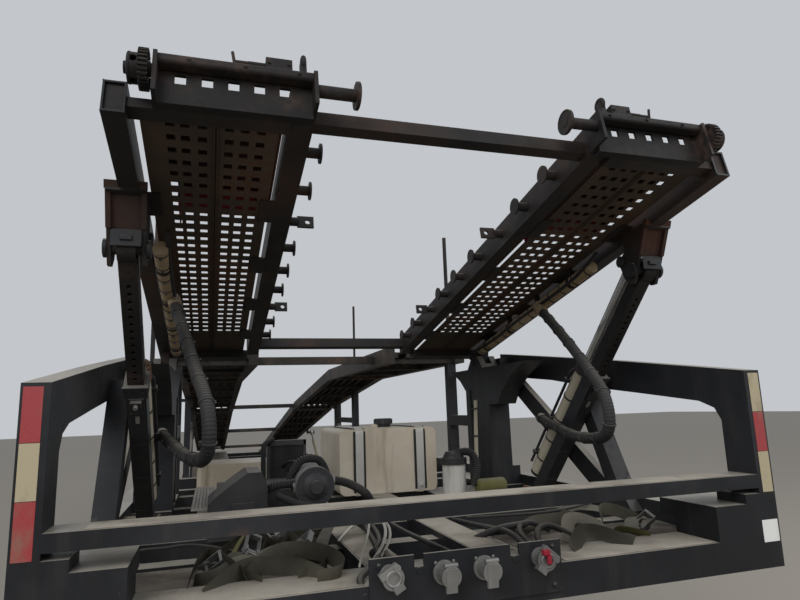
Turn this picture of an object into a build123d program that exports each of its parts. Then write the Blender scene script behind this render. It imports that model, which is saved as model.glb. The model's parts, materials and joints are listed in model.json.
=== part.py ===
from build123d import *
import math
import os

# High-mount car transporter semi-trailer, parked on its landing legs with its rear deck down.
# X runs across, +X on the right of someone who looks at the nose. Y starts at the nose posts
# and runs to the tail. Z is up from the ground. Everything is in millimetres.

# Driving dimensions of the whole vehicle
half_width = 1295
nose_to_tail = 16150
plate_height = 1190        # underside of the coupler plate, as it stands on a tractor
neck_top = 1300
neck_length = 3700
belly_bottom = 350
belly_top = 530
track_inner = 430          # the wheel tracks of the lower deck, each side of the middle
track_outer = half_width - 145

# Upper decks: each side has an inner rail, an outer beam and a floor between them
deck_inner = half_width - 791
inner_rail_width = 76
outer_beam_x = half_width - 247
outer_beam_width = 65
deck_beam_depth = 110

# Front deck, which tilts on the pivot posts
pivot_y = 2100
pivot_z = 2130
front_slope = 11.9         # degrees, rising towards the nose
front_reach = 2314         # from the pivot to the ends of the outer beams
front_tail = 160           # from the pivot to the rear end
rail_centre = 173          # inner rail above the pivot line
beam_centre = 122          # outer beam above the pivot line
floor_level = 123
floor_thickness = 4
hole_size = 28
hole_pitch = 68
hole_columns = (158, 208, 256, 338, 390, 433)        # from the inner rail's inner face
hole_rows = 29
first_hole = front_reach - 92          # from the pivot to the first row
bar_size = 50
spool_pitch = 247
first_spool = front_reach - 242
spool_stub_radius = 19
spool_flange_radius = 36
spool_reach = 54
spool_flange_thickness = 7

# Winches across the front ends of the front deck
front_bar_reach = front_reach - 60
front_bar_level = 159
winch_reach = front_reach + 56         # from the pivot to the winch shafts
winch_lift = 187
winch_inner = deck_inner - 121
winch_outer = outer_beam_x - 6
winch_case = (deck_inner + 11, outer_beam_x - 78)
winch_shaft_radius = 20
ratchet_radius = 55
window_size = 32
window_x = (85, 161, 237, 313, 389)    # from the inner end of the case

# Lift arms of the front deck, from the neck to a clevis under each outer beam
arm_base_y = 1475
arm_base_z = 1262
arm_eye_y = 346
arm_eye_z = 2410
arm_x = half_width - 205
arm_width = 76
arm_depth = 80
arm_wall = 7
slider_clearance = 0.3
arm_tube_end = 1000        # from the base pin to the open end of the outer tube
slider_start = 520         # from the base pin to the hidden end of the slider
collar_rim = 8
collar_length = 60
lock_hole_radius = 8
lock_hole_pitch = 34
ram_back = 91              # the ram's centre line behind the arm's
ram_radius = 41
ram_rod_radius = 24
ram_start = 130
ram_end = 985
pin_radius = 25
pin_clearance = 0.4
eye_pin_radius = 22
eye_radius = 47
eye_bore = 36              # wide bore of the open eye, for its drift from the pin
cheek_thickness = 14
cheek_gap = 6
clevis_gap = 12

# Free hose loops, from an outlet under each deck bundle to a port on the ram barrel:
# each point is (x from the arm's middle line, y, z)
hose_radius = 25
hose_route = ((-125, 1040, 2325), (-180, 765, 2155), (-232, 525, 1990), (-287, 312, 1850), (-290, 305, 1682),
              (-240, 540, 1658), (-175, 820, 1672), (-80, 1200, 1735))
hose_points = tuple((arm_x + x, y, z) for x, y, z in hose_route)

# Middle deck, fixed on its posts
middle_start = 2560
middle_level_end = 5000
middle_end = 8140
middle_under = 2165        # underside of the level part
middle_end_under = 1845
deck_rail_depth = 120

# Rear deck, which tilts on the end of the middle deck
hinge_y = 8200
hinge_z = 1900
rear_slope = 8.6
rear_length = 6120
rear_hinge_lug = 60

# Rams of the rear deck
ram_base_y = 9900
ram_base_z = 720
rear_ram_x = half_width - 67
rear_ram_radius = 42
rear_rod_radius = 22
rear_eye_along = 2890      # from the deck hinge to the eyes, along the deck
rear_eye_drop = 95

# Axles and wheels
axle_y = (12350, 13600)
tyre_radius = 398
tyre_width = 235
tyre_gap = 35
rim_radius = 222
rim_lip = 16
spindle_radius = 45
spindle_clearance = 0.05
hub_radius = 110
drum_radius = 185
rear_rail_x = 560
rear_rail_width = 80
rear_rail_under = 600
rear_rail_top = 828
over_wheel_top = 870

# Landing legs
leg_y = neck_length - 650
leg_x = 900
leg_size = 120
leg_inner_size = 96
leg_split = 640
foot_size = 270
foot_thickness = 16

# Nose guard: a post at each corner, a beam rising from it to the pivot post, and a cross rail
guard_thickness = 75
guard_post_depth = 140
guard_post_top = 1930
guard_rail_top = 1530
guard_rail_height = 50
guard_rail_depth = 140


def block(x, y, z):
    return Pos((x[0] + x[1]) / 2, (y[0] + y[1]) / 2, (z[0] + z[1]) / 2) * Box(
        x[1] - x[0], y[1] - y[0], z[1] - z[0]
    )


def side_plate(points, x):
    """A flat outline of (y, z) points, thick from x[0] to x[1]."""
    outline = make_face(Polyline(*points, close=True))
    return extrude(Plane.YZ.offset(x[0]) * outline, x[1] - x[0])


def sloped_bar(a, b, x, depth):
    """A straight bar between two (y, z) points on its middle line."""
    dy, dz = b[0] - a[0], b[1] - a[1]
    half = depth / 2 / math.hypot(dy, dz)
    ny, nz = -dz * half, dy * half
    return side_plate(
        [(a[0] + ny, a[1] + nz), (b[0] + ny, b[1] + nz), (b[0] - ny, b[1] - nz), (a[0] - ny, a[1] - nz)], x
    )


def rod(a, b, radius):
    along = Vector(*b) - Vector(*a)
    bottom = (Align.CENTER, Align.CENTER, Align.MIN)
    return Plane(origin=a, z_dir=along) * Cylinder(radius, along.length, align=bottom)


def cross_rod(x, y, z, radius):
    return rod((x[0], y, z), (x[1], y, z), radius)


def fuse(pieces):
    return pieces[0] + pieces[1:] if len(pieces) > 1 else pieces[0]


def mirrored(pieces):
    return pieces + [mirror(piece, about=Plane.YZ) for piece in pieces]


def separate(solids):
    return Compound(children=solids)


def across(half):
    return (-half, half)


nodes = {}

# Neck: box beam at the nose, side rails, middle rails and cross members
side_rail = (half_width - 90, half_width)
nose_beam_depth = 220
nose_beam_half = half_width - 195
neck_side_top = 1360
neck_middle_rail = (140, 285)
neck_cross_y = (640, 1080, 1610, 2060, 2620, 3005)
neck_cross_depth = 90
neck_floor_x = (360, side_rail[0])
neck_floor_z = (1255, 1263)
shelf_x = (560, 900)


def neck_frame():
    pieces = [
        block(across(nose_beam_half), (0, nose_beam_depth), (plate_height, neck_top)),
        block(across(half_width), (neck_length - 110, neck_length), (belly_bottom, neck_top)),
    ]
    rails = [
        block(side_rail, (nose_beam_depth, neck_length), (plate_height, neck_side_top)),
        block(neck_middle_rail, (nose_beam_depth, neck_length - 110), (plate_height + 12, neck_top)),
        block(side_rail, (neck_length - 260, neck_length - 110), (belly_bottom, plate_height)),
        block(neck_floor_x, (nose_beam_depth, neck_cross_y[0]), neck_floor_z),
    ]
    cross_z = (plate_height + 12, neck_top - 25)
    for y in neck_cross_y:
        pieces.append(block(across(side_rail[0]), (y, y + neck_cross_depth), cross_z))
    pieces.append(block(shelf_x, (neck_cross_y[2], neck_cross_y[3] + 50), (neck_top - 25, neck_top - 15)))
    window_z = (belly_top + 90, plate_height - 60)
    window = block(across(side_rail[0] - 60), (neck_length - 120, neck_length + 10), window_z)
    return fuse(pieces + mirrored(rails)) - window


nodes["neck_frame"] = neck_frame()

# Coupler plate and kingpin
kingpin_y = 915
coupler_half = 470
coupler_y = (240, 1500)
kingpin_steps = ((36.5, 0, 35), (25.4, 35, 65), (35.7, 65, 84))     # radius, from, to below the plate


def coupler():
    plate = block(across(coupler_half), coupler_y, (plate_height, plate_height + 12))
    pin = [
        rod((0, kingpin_y, plate_height - start), (0, kingpin_y, plate_height - end), radius)
        for radius, start, end in kingpin_steps
    ]
    return fuse([plate] + pin)


nodes["coupler_plate"] = coupler()

# Service plate on the nose with its two air couplings and two sockets
service_half = 330
service_top = 1378
service_bottom = 1215
service_thickness = 10
air_x = 262
socket_x = (-75, 62)


def service_plate():
    plate = block(across(service_half), (-service_thickness, 0), (service_bottom, service_top))
    notches = [
        block((x - 16, x + 16), (-service_thickness - 1, 1), (service_top - 36, service_top + 1))
        for x in (-170, 160)
    ]
    return plate - notches


def service_couplings():
    solids = []
    middle = (service_bottom + service_top) / 2 + 20
    for x in (-air_x, air_x):
        body = rod((x, -service_thickness, middle), (x, -service_thickness - 46, middle), 24)
        head = rod((x, -service_thickness - 34, middle), (x, -service_thickness - 62, middle), 34)
        solids.append(body + head)
    for x in socket_x:
        barrel = rod((x, -service_thickness, middle - 12), (x, -service_thickness - 58, middle - 12), 33)
        lid_y = (-service_thickness - 70, -service_thickness - 56)
        lid = block((x - 38, x + 38), lid_y, (middle - 62, middle + 36))
        solids.append(barrel + lid)
    return separate(solids)


nodes["service_plate"] = service_plate()
nodes["service_couplings"] = service_couplings()

# Nose guard
guard_x = (half_width - guard_thickness, half_width)
corner_box_x = (half_width - 290, half_width)
corner_box_depth = 300
corner_box_top = 1425
corner_column_top = 1460
guard_beam = ((0, 1930), (800, 2035), (1420, 2110), (2105, 2190), (2105, 2030), (1420, 1965), (1015, 1905),
              (640, 1862), (250, 1815), (170, 1785), (140, 1735), (140, 1700), (0, 1700))
guard_leg_x = (half_width - 153, half_width - 66)
guard_leg_foot = 726       # front of the leg's foot on the side rail
guard_leg_lean = 0.49
guard_leg_depth = 95
guard_leg_z = (1300, 1990)


def leg_front(z):
    return guard_leg_foot + (z - neck_side_top) * guard_leg_lean


def guard_leg(low, x):
    """The raked leg from a height up to its top, with a foot that spreads below."""
    top, knee = guard_leg_z[1], low + 90
    return side_plate([
        (leg_front(top), top), (leg_front(top) + guard_leg_depth, top),
        (leg_front(knee) + guard_leg_depth, knee), (leg_front(low) + guard_leg_depth + 25, low),
        (leg_front(low) - 30, low), (leg_front(knee), knee),
    ], x)


def nose_guard():
    side = [
        block(corner_box_x, (0, corner_box_depth), (neck_side_top, corner_box_top)),
        block((half_width - 145, half_width), (0, guard_post_depth), (corner_box_top, corner_column_top)),
        block(guard_x, (0, guard_post_depth), (corner_column_top, guard_post_top - 100)),
        side_plate(guard_beam, guard_x),
        guard_leg(guard_leg_z[0], (guard_leg_x[0], side_rail[0])),
        guard_leg(neck_side_top, (side_rail[0], guard_leg_x[1])),
    ]
    front = block((nose_beam_half, half_width), (0, nose_beam_depth), (plate_height, neck_side_top))
    inner_front = block((corner_box_x[0], nose_beam_half), (0, nose_beam_depth), (neck_top, neck_side_top))
    rail_z = (guard_rail_top - guard_rail_height, guard_rail_top)
    rail = block(across(guard_x[0]), (0, guard_rail_depth), rail_z)
    return fuse(mirrored(side + [front, inner_front]) + [rail])


nodes["nose_guard"] = nose_guard()

# Pivot posts: a main post under a fan of plates, a brace forward to the side rail,
# and two thin posts joined by a rung behind it
main_post_x = (half_width - 295, half_width - 145)
main_post_y = (1880, 2060)
fan_x = (main_post_x[0] + 8, main_post_x[1] - 8)
fan_bottom = 1830
lug_x = (half_width - 243, half_width - 197)
lug_gap = 0.5
lug_half = 72
fan = ((1360, 2085), (1560, 2010), (1700, 1910), (1765, 1830), (2180, 1830), (2260, 1915), (2380, 2010),
       (2540, 2085))
thin_post_width = 70
brace_x = (main_post_x[1] + 16, side_rail[0])
thin_post_y = (2190, 2600)


def pivot_posts():
    slot_half = lug_half + 25
    slot = block((lug_x[0] - lug_gap, lug_x[1] + lug_gap), (pivot_y - slot_half, pivot_y + slot_half),
                 (pivot_z - 75, pivot_z + 75))
    ear = side_plate([(pivot_y - 150, 2060), (pivot_y - 45, pivot_z + 42), (pivot_y + 45, pivot_z + 42),
                      (pivot_y + 150, 2060)], fan_x)
    bore = cross_rod((fan_x[0] - 1, fan_x[1] + 1), pivot_y, pivot_z, pin_radius + pin_clearance)
    thin_x = (main_post_x[0], main_post_x[0] + thin_post_width)
    rung_y = (thin_post_y[0] + thin_post_width, thin_post_y[1])
    solid = fuse([
        block(main_post_x, main_post_y, (neck_top, fan_bottom)),
        side_plate(fan, fan_x),
        ear,
        block((main_post_x[1], side_rail[0]), main_post_y, (neck_top, 1420)),
        block((fan_x[1], guard_x[0]), (1960, 2100), (2040, 2150)),
        sloped_bar((1790, 1955), (900, 1372), brace_x, 110),
        block((fan_x[1] - 2, brace_x[1]), (1740, 1860), (1900, 2010)),
        block(thin_x, (thin_post_y[0], thin_post_y[0] + thin_post_width), (neck_top, 1940)),
        block(thin_x, (thin_post_y[1], thin_post_y[1] + thin_post_width), (neck_top, middle_under)),
        block(thin_x, rung_y, (1680, 1755)),
        block((main_post_x[0], side_rail[0]), (main_post_y[0] - 40, thin_post_y[1] + 110),
              (neck_top - 25, neck_top)),
    ])
    return separate(mirrored([solid - slot - bore]))


nodes["pivot_posts"] = pivot_posts()

# Shoes that carry the lift arms on the neck
arm_half = arm_width / 2
shoe_cheeks = ((arm_x - arm_half - cheek_gap - cheek_thickness, arm_x - arm_half - cheek_gap),
               (arm_x + arm_half + cheek_gap, side_rail[0]))
shoe_length = 130


def arm_shoes():
    front, rear = arm_base_y - shoe_length, arm_base_y + shoe_length
    line = [(front, neck_top - 25), (arm_base_y - 55, arm_base_z + 75), (arm_base_y + 55, arm_base_z + 75),
            (rear, neck_top - 25), (rear, plate_height + 12), (front, plate_height + 12)]
    cheeks = [side_plate(line, x) for x in shoe_cheeks]
    floor = block((shoe_cheeks[0][0], side_rail[0]), (front, rear), (plate_height, plate_height + 8))
    sides = [block(x, (front, rear), (plate_height, plate_height + 12)) for x in shoe_cheeks]
    pin = cross_rod((shoe_cheeks[0][0] - 14, shoe_cheeks[1][1] - 20), arm_base_y, arm_base_z, pin_radius)
    return separate(mirrored([fuse(cheeks + sides + [floor, pin])]))


nodes["arm_shoes"] = arm_shoes()

# Lift arms: an outer tube with the ram's barrel behind it, and a slider with the ram's rod on one eye
arm_dy = arm_eye_y - arm_base_y
arm_dz = arm_eye_z - arm_base_z
arm_length = math.hypot(arm_dy, arm_dz)
arm_angle = math.degrees(math.atan2(arm_dz, -arm_dy))
boss_radius = 50
saddle_along = (180, 700)
saddle_length = 60
port_length = 45
port_rim = 4
link_radius = 16


def upright_arm():
    """Places what is built upright over the base pin along the real arm."""
    return Pos(0, arm_base_y, arm_base_z) * Rot(90 - arm_angle, 0, 0)


def hose_port():
    """The stub that takes the hose, as it stands, and its link to the barrel, upright."""
    end, along = Vector(*hose_points[-1]), Vector(*hose_points[-1]) - Vector(*hose_points[-2])
    along = along.normalized()
    stub = rod(end + along * 0.4, end + along * port_length, hose_radius + port_rim)
    middle = (upright_arm().inverse() * Pos(*(end + along * (port_length - link_radius)))).position
    to_barrel = Vector(arm_x - middle.X, ram_back - middle.Y, 0)
    reach = to_barrel.length - ram_radius + 5
    return stub, rod(middle, middle + to_barrel.normalized() * reach, link_radius)


def lift_tube(side):
    upright = (Align.CENTER, Align.CENTER, Align.MIN)
    half_depth = arm_depth / 2
    outer = Box(arm_width, arm_depth, arm_tube_end - boss_radius + 25, align=upright)
    inner = Box(arm_width - 2 * arm_wall, arm_depth - 2 * arm_wall, arm_tube_end, align=upright)
    tube = Pos(arm_x, 0, boss_radius - 25) * outer - Pos(arm_x, 0, boss_radius + 5) * inner
    boss = cross_rod((arm_x - arm_half - 3, arm_x + arm_half + 3), 0, 0, boss_radius)
    bore_radius = ram_rod_radius + slider_clearance
    barrel = rod((arm_x, ram_back, ram_start), (arm_x, ram_back, ram_end), ram_radius)
    gland = rod((arm_x, ram_back, ram_end - 60), (arm_x, ram_back, ram_end + 14), ram_radius + 5)
    ram_bore = rod((arm_x, ram_back, ram_start + 60), (arm_x, ram_back, ram_end + 15), bore_radius)
    collar_x = (arm_x - arm_half - collar_rim, arm_x + arm_half + collar_rim)
    collar_y = (-half_depth - collar_rim, ram_back - ram_radius + 5)
    collar = block(collar_x, collar_y, (arm_tube_end - collar_length, arm_tube_end))
    collar -= block((arm_x - arm_half, arm_x + arm_half), (-half_depth, half_depth),
                    (arm_tube_end - collar_length - 1, arm_tube_end + 1))
    saddle_x, saddle_y = (arm_x - 22, arm_x + 22), (half_depth - 4, ram_back - ram_radius + 10)
    saddles = [block(saddle_x, saddle_y, (start, start + saddle_length)) for start in saddle_along]
    bore = cross_rod((arm_x - arm_width, arm_x + arm_width), 0, 0, pin_radius + pin_clearance)
    stub, link = hose_port()
    arm = fuse([tube, boss, barrel, gland, collar, link] + saddles) - bore - ram_bore
    placed = upright_arm() * arm + stub
    return placed if side > 0 else mirror(placed, about=Plane.YZ)


def lift_slider(side):
    gap = arm_wall + slider_clearance
    width, depth = arm_width - 2 * gap, arm_depth - 2 * gap
    bar = Pos(arm_x, 0, slider_start) * Box(width, depth, arm_length - eye_radius + 12 - slider_start,
                                            align=(Align.CENTER, Align.CENTER, Align.MIN))
    holes = []
    reach = arm_tube_end + 30
    while reach < arm_length - 110:
        holes.append(rod((arm_x, -depth, reach), (arm_x, depth, reach), lock_hole_radius))
        reach += lock_hole_pitch
    eye = cross_rod((arm_x - width / 2, arm_x + width / 2), 0, arm_length, eye_radius)
    ram = rod((arm_x, ram_back, ram_end - 330), (arm_x, ram_back, arm_length - 8), ram_rod_radius)
    tie = block((arm_x - 22, arm_x + 22), (30, ram_back + 10), (arm_length - 34, arm_length + 6))
    bore = cross_rod((arm_x - width, arm_x + width), 0, arm_length, eye_bore)
    slider = fuse([bar - holes, eye, ram, tie]) - bore
    placed = upright_arm() * slider
    return placed if side > 0 else mirror(placed, about=Plane.YZ)


for label, side in (("left", -1), ("right", 1)):
    nodes[f"lift_tube_{label}"] = lift_tube(side)
    nodes[f"lift_slider_{label}"] = lift_slider(side)

# Front deck, built level over its pivot and then tilted
front_tilt = Pos(0, pivot_y, pivot_z) * Rot(-front_slope, 0, 0)
inner_rail = (deck_inner, deck_inner + inner_rail_width)
outer_beam = (outer_beam_x, outer_beam_x + outer_beam_width)
floor_edges = (deck_inner + 102, outer_beam_x - 26)
floor_seat = 30            # how far the tabs of the rail and the beam reach under the floor
rail_setback = 14
deck_cross_pitch = 494
deck_cross_width = 160


def in_front_deck(y, z):
    """A point of the tilted deck as (y, z) about its pivot, with the deck level."""
    turn = math.radians(front_slope)
    dy, dz = y - pivot_y, z - pivot_z
    return (dy * math.cos(turn) - dz * math.sin(turn), dy * math.sin(turn) + dz * math.cos(turn))


def spools():
    solids = []
    for count in range(9):
        if count in (2, 6):
            continue
        y = -first_spool + count * spool_pitch
        solids.append(cross_rod((deck_inner - spool_reach, deck_inner), y, rail_centre, spool_stub_radius))
        flange = (deck_inner - spool_reach - spool_flange_thickness, deck_inner - spool_reach)
        solids.append(cross_rod(flange, y, rail_centre, spool_flange_radius))
    for count in (2, 6):
        y = -first_spool + count * spool_pitch
        solids.append(cross_rod((deck_inner - 45, deck_inner), y, rail_centre, spool_stub_radius))
        tab = block((deck_inner - 110, deck_inner - 40), (y - 6, y + 6), (rail_centre - 26, rail_centre + 26))
        hole_x = deck_inner - 84
        solids.append(tab - rod((hole_x, y - 7, rail_centre), (hole_x, y + 7, rail_centre), 11))
    return solids


# Clevis under each outer beam: the cheeks' outline as it stands, from the beam's underside round to it
clevis_line = ((230, 2610), (280, 2495), (325, 2390), (345, 2350), (376, 2350), (408, 2385), (428, 2440),
               (428, 2478), (394, 2505), (394, 2575))
clevis_inner = (arm_x - arm_half - clevis_gap - cheek_thickness, arm_x - arm_half - clevis_gap)
clevis_outer = (arm_x + arm_half + clevis_gap, arm_x + arm_half + clevis_gap + cheek_thickness)


def clevis():
    low = beam_centre - deck_beam_depth / 2
    line = [in_front_deck(y, z) for y, z in clevis_line]
    eye = in_front_deck(arm_eye_y, arm_eye_z)
    top_plate = block((clevis_inner[0], clevis_outer[1]), (line[0][0], line[-1][0]), (low - 12, low + 2))
    pin = cross_rod((clevis_inner[0] - 11, clevis_outer[1] + 11), eye[0], eye[1], eye_pin_radius)
    return [side_plate(line, clevis_inner), side_plate(line, clevis_outer), top_plate, pin]


def front_deck_rails():
    half = deck_beam_depth / 2
    beam_low = beam_centre - half
    bay = (inner_rail[1], outer_beam[0])
    side = [
        block(inner_rail, (-front_reach + rail_setback, front_tail), (rail_centre - half, rail_centre + half)),
        block(outer_beam, (-front_reach, front_tail), (beam_low, beam_centre + half)),
        block(bay, (-front_reach, -front_reach + 58), (floor_level - 25, floor_level + 8)),
        block(bay, (front_tail - 90, front_tail), (floor_level - 48, floor_level)),
    ]
    y = -front_reach + deck_cross_pitch
    while y < front_tail - deck_cross_width - 90:
        for x in ((bay[0], floor_edges[0] + floor_seat), (floor_edges[1] - floor_seat, bay[1])):
            side.append(block(x, (y, y + deck_cross_width), (floor_level - 8, floor_level)))
        y += deck_cross_pitch
    side.append(side_plate([(-lug_half, beam_low), (-34, -34), (34, -34), (lug_half, beam_low)], lug_x))
    side.append(cross_rod((fan_x[0] + 4, fan_x[1] - 4), 0, 0, pin_radius))
    half_bar = bar_size / 2
    front_bar = block(across(deck_inner), (-front_bar_reach - half_bar, -front_bar_reach + half_bar),
                      (front_bar_level - half_bar, front_bar_level + half_bar))
    rear_bar = block(across(deck_inner), (front_tail - 100, front_tail - 40),
                     (rail_centre - 30, rail_centre + 30))
    return front_tilt * fuse(mirrored(side + clevis() + spools()) + [front_bar, rear_bar])


def front_deck_floor():
    """Punched floor plates, one each side."""
    middle = (floor_edges[0] + floor_edges[1]) / 2
    start, end = -front_reach + 60, front_tail - 20
    sheet = Pos(middle, (start + end) / 2) * Rectangle(floor_edges[1] - floor_edges[0], end - start)
    holes = [
        Pos(deck_inner + x, -first_hole + row * hole_pitch) * Rectangle(hole_size, hole_size)
        for row in range(hole_rows)
        for x in hole_columns
    ]
    punched = sheet - holes
    plate = Pos(0, 0, floor_level) * extrude(punched, floor_thickness)
    return front_tilt * separate(mirrored([plate]))


def front_winches():
    """A case over a plate with square windows, a stub to the middle, and a ratchet head outside."""
    y, z = -winch_reach, winch_lift
    beam_front = -front_reach
    case = fillet(block(winch_case, (y - 20, y + 26), (z + 24, z + 58)).edges().filter_by(Axis.X), 12)
    plate = block(winch_case, (y + 24, y + 34), (floor_level - 25, z + 50))
    shelf = block(winch_case, (y + 24, beam_front), (floor_level - 25, floor_level - 17))
    cheeks = [
        block((deck_inner, deck_inner + 12), (y - 30, beam_front + rail_setback), (z - 69, z + 53)),
        block((winch_case[1] - 5, winch_case[1] + 7), (y - 30, beam_front), (floor_level - 25, z + 53)),
    ]
    half = window_size / 2
    windows = [block((winch_case[0] + x - half, winch_case[0] + x + half), (y, y + 40), (z - half, z + half))
               for x in window_x]
    shafts = [
        cross_rod((winch_inner, winch_case[0]), y, z, winch_shaft_radius),
        cross_rod((winch_case[1], winch_outer - 40), y, z, winch_shaft_radius),
        cross_rod((winch_inner - 10, winch_inner), y, z, 44),
    ]
    latch_x = [winch_case[0] + x for x in (21, 65, 145, 197)]
    ratchet = cross_rod((winch_outer - 50, winch_outer - 34), y, z, ratchet_radius)
    head = cross_rod((winch_outer - 34, winch_outer), y, z, 44)
    pockets = [Pos(winch_outer - 16, y, z) * Rot(turn, 0, 0) * Cylinder(11, 120) for turn in (0, 90)]
    latch = [
        block(latch_x[1:3], (y - 14, y + 22), (z + 56, z + 96)),
        cross_rod(latch_x[2:], y + 2, z + 74, 8),
        block((latch_x[0], latch_x[0] + 18), (y - 14, y + 18), (z + 56, z + 108)),
    ]
    winch = fuse([case, plate, shelf, ratchet, head] + cheeks + shafts + latch)
    return front_tilt * separate(mirrored([winch - windows - pockets]))


nodes["front_deck_rails"] = front_deck_rails()
nodes["front_deck_floor"] = front_deck_floor()
nodes["front_winches"] = front_winches()

# Sheathed hose bundles along the front deck's outer beams
bundle_x = outer_beam_x - 42
bundle_radius = 30
bundle_level = 44.7
bundle_y = (784 - front_reach, -150)


def deck_bundles():
    ends = [(bundle_x, y, bundle_level) for y in bundle_y]
    bundle = front_tilt * rod(*ends, bundle_radius)
    start, along = Vector(*hose_points[0]), Vector(*hose_points[1]) - Vector(*hose_points[0])
    outlet = rod(start - along.normalized() * 0.4, start - along.normalized() * 100, hose_radius + 5)
    return separate(mirrored([bundle + outlet]))


nodes["deck_bundles"] = deck_bundles()

# Middle deck
middle_line = ((middle_start, middle_under), (middle_level_end, middle_under), (middle_end, middle_end_under))
rib_count = 6
rib_width = 26
rib_depth = 34
deck_floor_drop = 34
between_rails = (deck_inner + 46.3, outer_beam_x - 0.3)


def along_line(line, low, high, x):
    """A strip that follows a bent (y, z) line, between two heights over it."""
    upper = [(y, z + high) for y, z in line]
    lower = [(y, z + low) for y, z in reversed(line)]
    return side_plate(upper + lower, x)


def ribbed_floor(line, x, top):
    """A floor sheet with ribs under it along its length."""
    pieces = [along_line(line, top - 8, top, x)]
    pitch = (x[1] - x[0] - rib_width) / (rib_count - 1)
    for count in range(rib_count):
        start = x[0] + count * pitch
        pieces.append(along_line(line, top - 8 - rib_depth, top - 8, (start, start + rib_width)))
    return fuse(pieces)


def middle_deck_rails():
    rails = [
        along_line(middle_line, 0, deck_rail_depth, (deck_inner - 24, deck_inner + 46)),
        along_line(middle_line, 0, deck_rail_depth, (outer_beam_x, outer_beam_x + 82)),
    ]
    cross_y = (2600, 3400, 4200, 4960, 5760, 6560, 7360, 8060)
    for y in cross_y:
        z = middle_under if y < middle_level_end else middle_under + (y - middle_level_end) * (
            middle_end_under - middle_under) / (middle_end - middle_level_end)
        rails.append(block((deck_inner + 46, outer_beam_x), (y, y + 60), (z + 4, z + 34)))
    bars = [
        block(across(deck_inner - 24), (2960, 3020), (middle_under + 30, middle_under + 90)),
        block(across(deck_inner - 24), (middle_end - 70, middle_end - 10),
              (middle_end_under + 40, middle_end_under + 100)),
    ]
    lug_line = [
        (middle_end - 90, middle_end_under + 10), (middle_end, middle_end_under - 8), (hinge_y + 38, hinge_z - 40),
        (hinge_y + 38, hinge_z + 36), (middle_end - 60, middle_end_under + 112),
    ]
    lug = side_plate(lug_line, (outer_beam_x + 86, outer_beam_x + 106))
    pad = block((outer_beam_x + 80, outer_beam_x + 88), (middle_end - 90, middle_end),
                (middle_end_under + 20, middle_end_under + 100))
    pin = cross_rod((outer_beam_x + 20, outer_beam_x + 112), hinge_y, hinge_z, pin_radius)
    return fuse(mirrored(rails + [lug, pad, pin]) + bars)


def middle_deck_floor():
    floor = ribbed_floor(middle_line, between_rails, deck_rail_depth - deck_floor_drop)
    return separate(mirrored([floor]))


nodes["middle_deck_rails"] = middle_deck_rails()
nodes["middle_deck_floor"] = middle_deck_floor()

# Guide rods that stand on the middle deck's sides
guide_rod_x = half_width - 45
guide_rod_y = (3170, 7000)
guide_rod_top = 3380
guide_rod_radius = 17


def guide_rods():
    solids = []
    for y in guide_rod_y:
        z = middle_under + 20 if y < middle_level_end else 2000
        arm = block((outer_beam_x + 82, guide_rod_x + 24), (y - 26, y + 26), (z, z + 42))
        upright = rod((guide_rod_x, y, z + 20), (guide_rod_x, y, guide_rod_top), guide_rod_radius)
        solids.append(fuse([arm, upright]))
    return separate(mirrored(solids))


nodes["guide_rods"] = guide_rods()

# Posts between the belly and the middle deck
mid_post_y = ((6240, 6380), (7440, 7640))
mid_post_x = (outer_beam_x + 6, outer_beam_x + 76)


def deck_under(y):
    fall = (middle_end_under - middle_under) / (middle_end - middle_level_end)
    return middle_under + max(0, y - middle_level_end) * fall


def mid_posts():
    pieces = []
    for start, end in mid_post_y:
        outline = [(start, belly_top), (start, deck_under(start)), (end, deck_under(end)), (end, belly_top)]
        pieces.append(side_plate(outline, mid_post_x))
        pieces.append(block((mid_post_x[0], half_width), (start - 40, end + 40), (belly_top, belly_top + 14)))
    pieces.append(block(mid_post_x, (mid_post_y[0][1], mid_post_y[1][0]), (1640, 1710)))
    brace = sloped_bar((mid_post_y[0][1] - 20, 900), (mid_post_y[1][0] + 30, 1600),
                       (mid_post_x[0], mid_post_x[1] - 20), 70)
    pieces.append(brace)
    return separate(mirrored([fuse(pieces)]))


nodes["mid_posts"] = mid_posts()

# Belly frame
belly_end = 11200
sill_width = 120
belly_cross_pitch = 940
belly_cross_width = 80


def belly_frame():
    sill = block((half_width - sill_width, half_width), (neck_length, belly_end), (belly_bottom, belly_top))
    pieces = mirrored([sill])
    y = neck_length + 10
    while y < belly_end - 40:
        pieces.append(block(across(half_width - sill_width), (y, y + belly_cross_width),
                            (belly_bottom + 30, belly_top - 46)))
        y += belly_cross_pitch
    shelf = block((track_outer - 40, half_width - sill_width), (neck_length, belly_end),
                  (belly_bottom + 60, belly_bottom + 100))
    return fuse(pieces + mirrored([shelf]))


nodes["belly_frame"] = belly_frame()

# Lower wheel tracks: belly, slope, level over the wheels, and the dovetail
track_line = ((neck_length + 12, belly_top - 46), (10900, belly_top - 46), (11650, over_wheel_top - 42),
              (14700, over_wheel_top - 42), (16100, 600))


def lower_tracks():
    track = ribbed_floor(track_line, (track_inner, track_outer), 42)
    return separate(mirrored([track]))


nodes["lower_tracks"] = lower_tracks()

# Rear frame
rear_side = ((11200, belly_bottom), (11330, belly_bottom), (11600, 820), (14300, 820), (14700, 720),
             (16150, 430), (16150, 570), (14720, 900), (11420, 900), (11200, belly_top))
rear_rail = (rear_rail_x, rear_rail_x + rear_rail_width)
ramp_z = (500, 556)
ramp_x = (700, 1080)
ramp_carrier_y = (14500, 15200)
rear_side_x = (half_width - 80, half_width)
rear_cross = ((11240, 420, 500), (11660, 745, 826), (12935, 745, 826), (14220, 745, 826), (15000, 640, 720))


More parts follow.
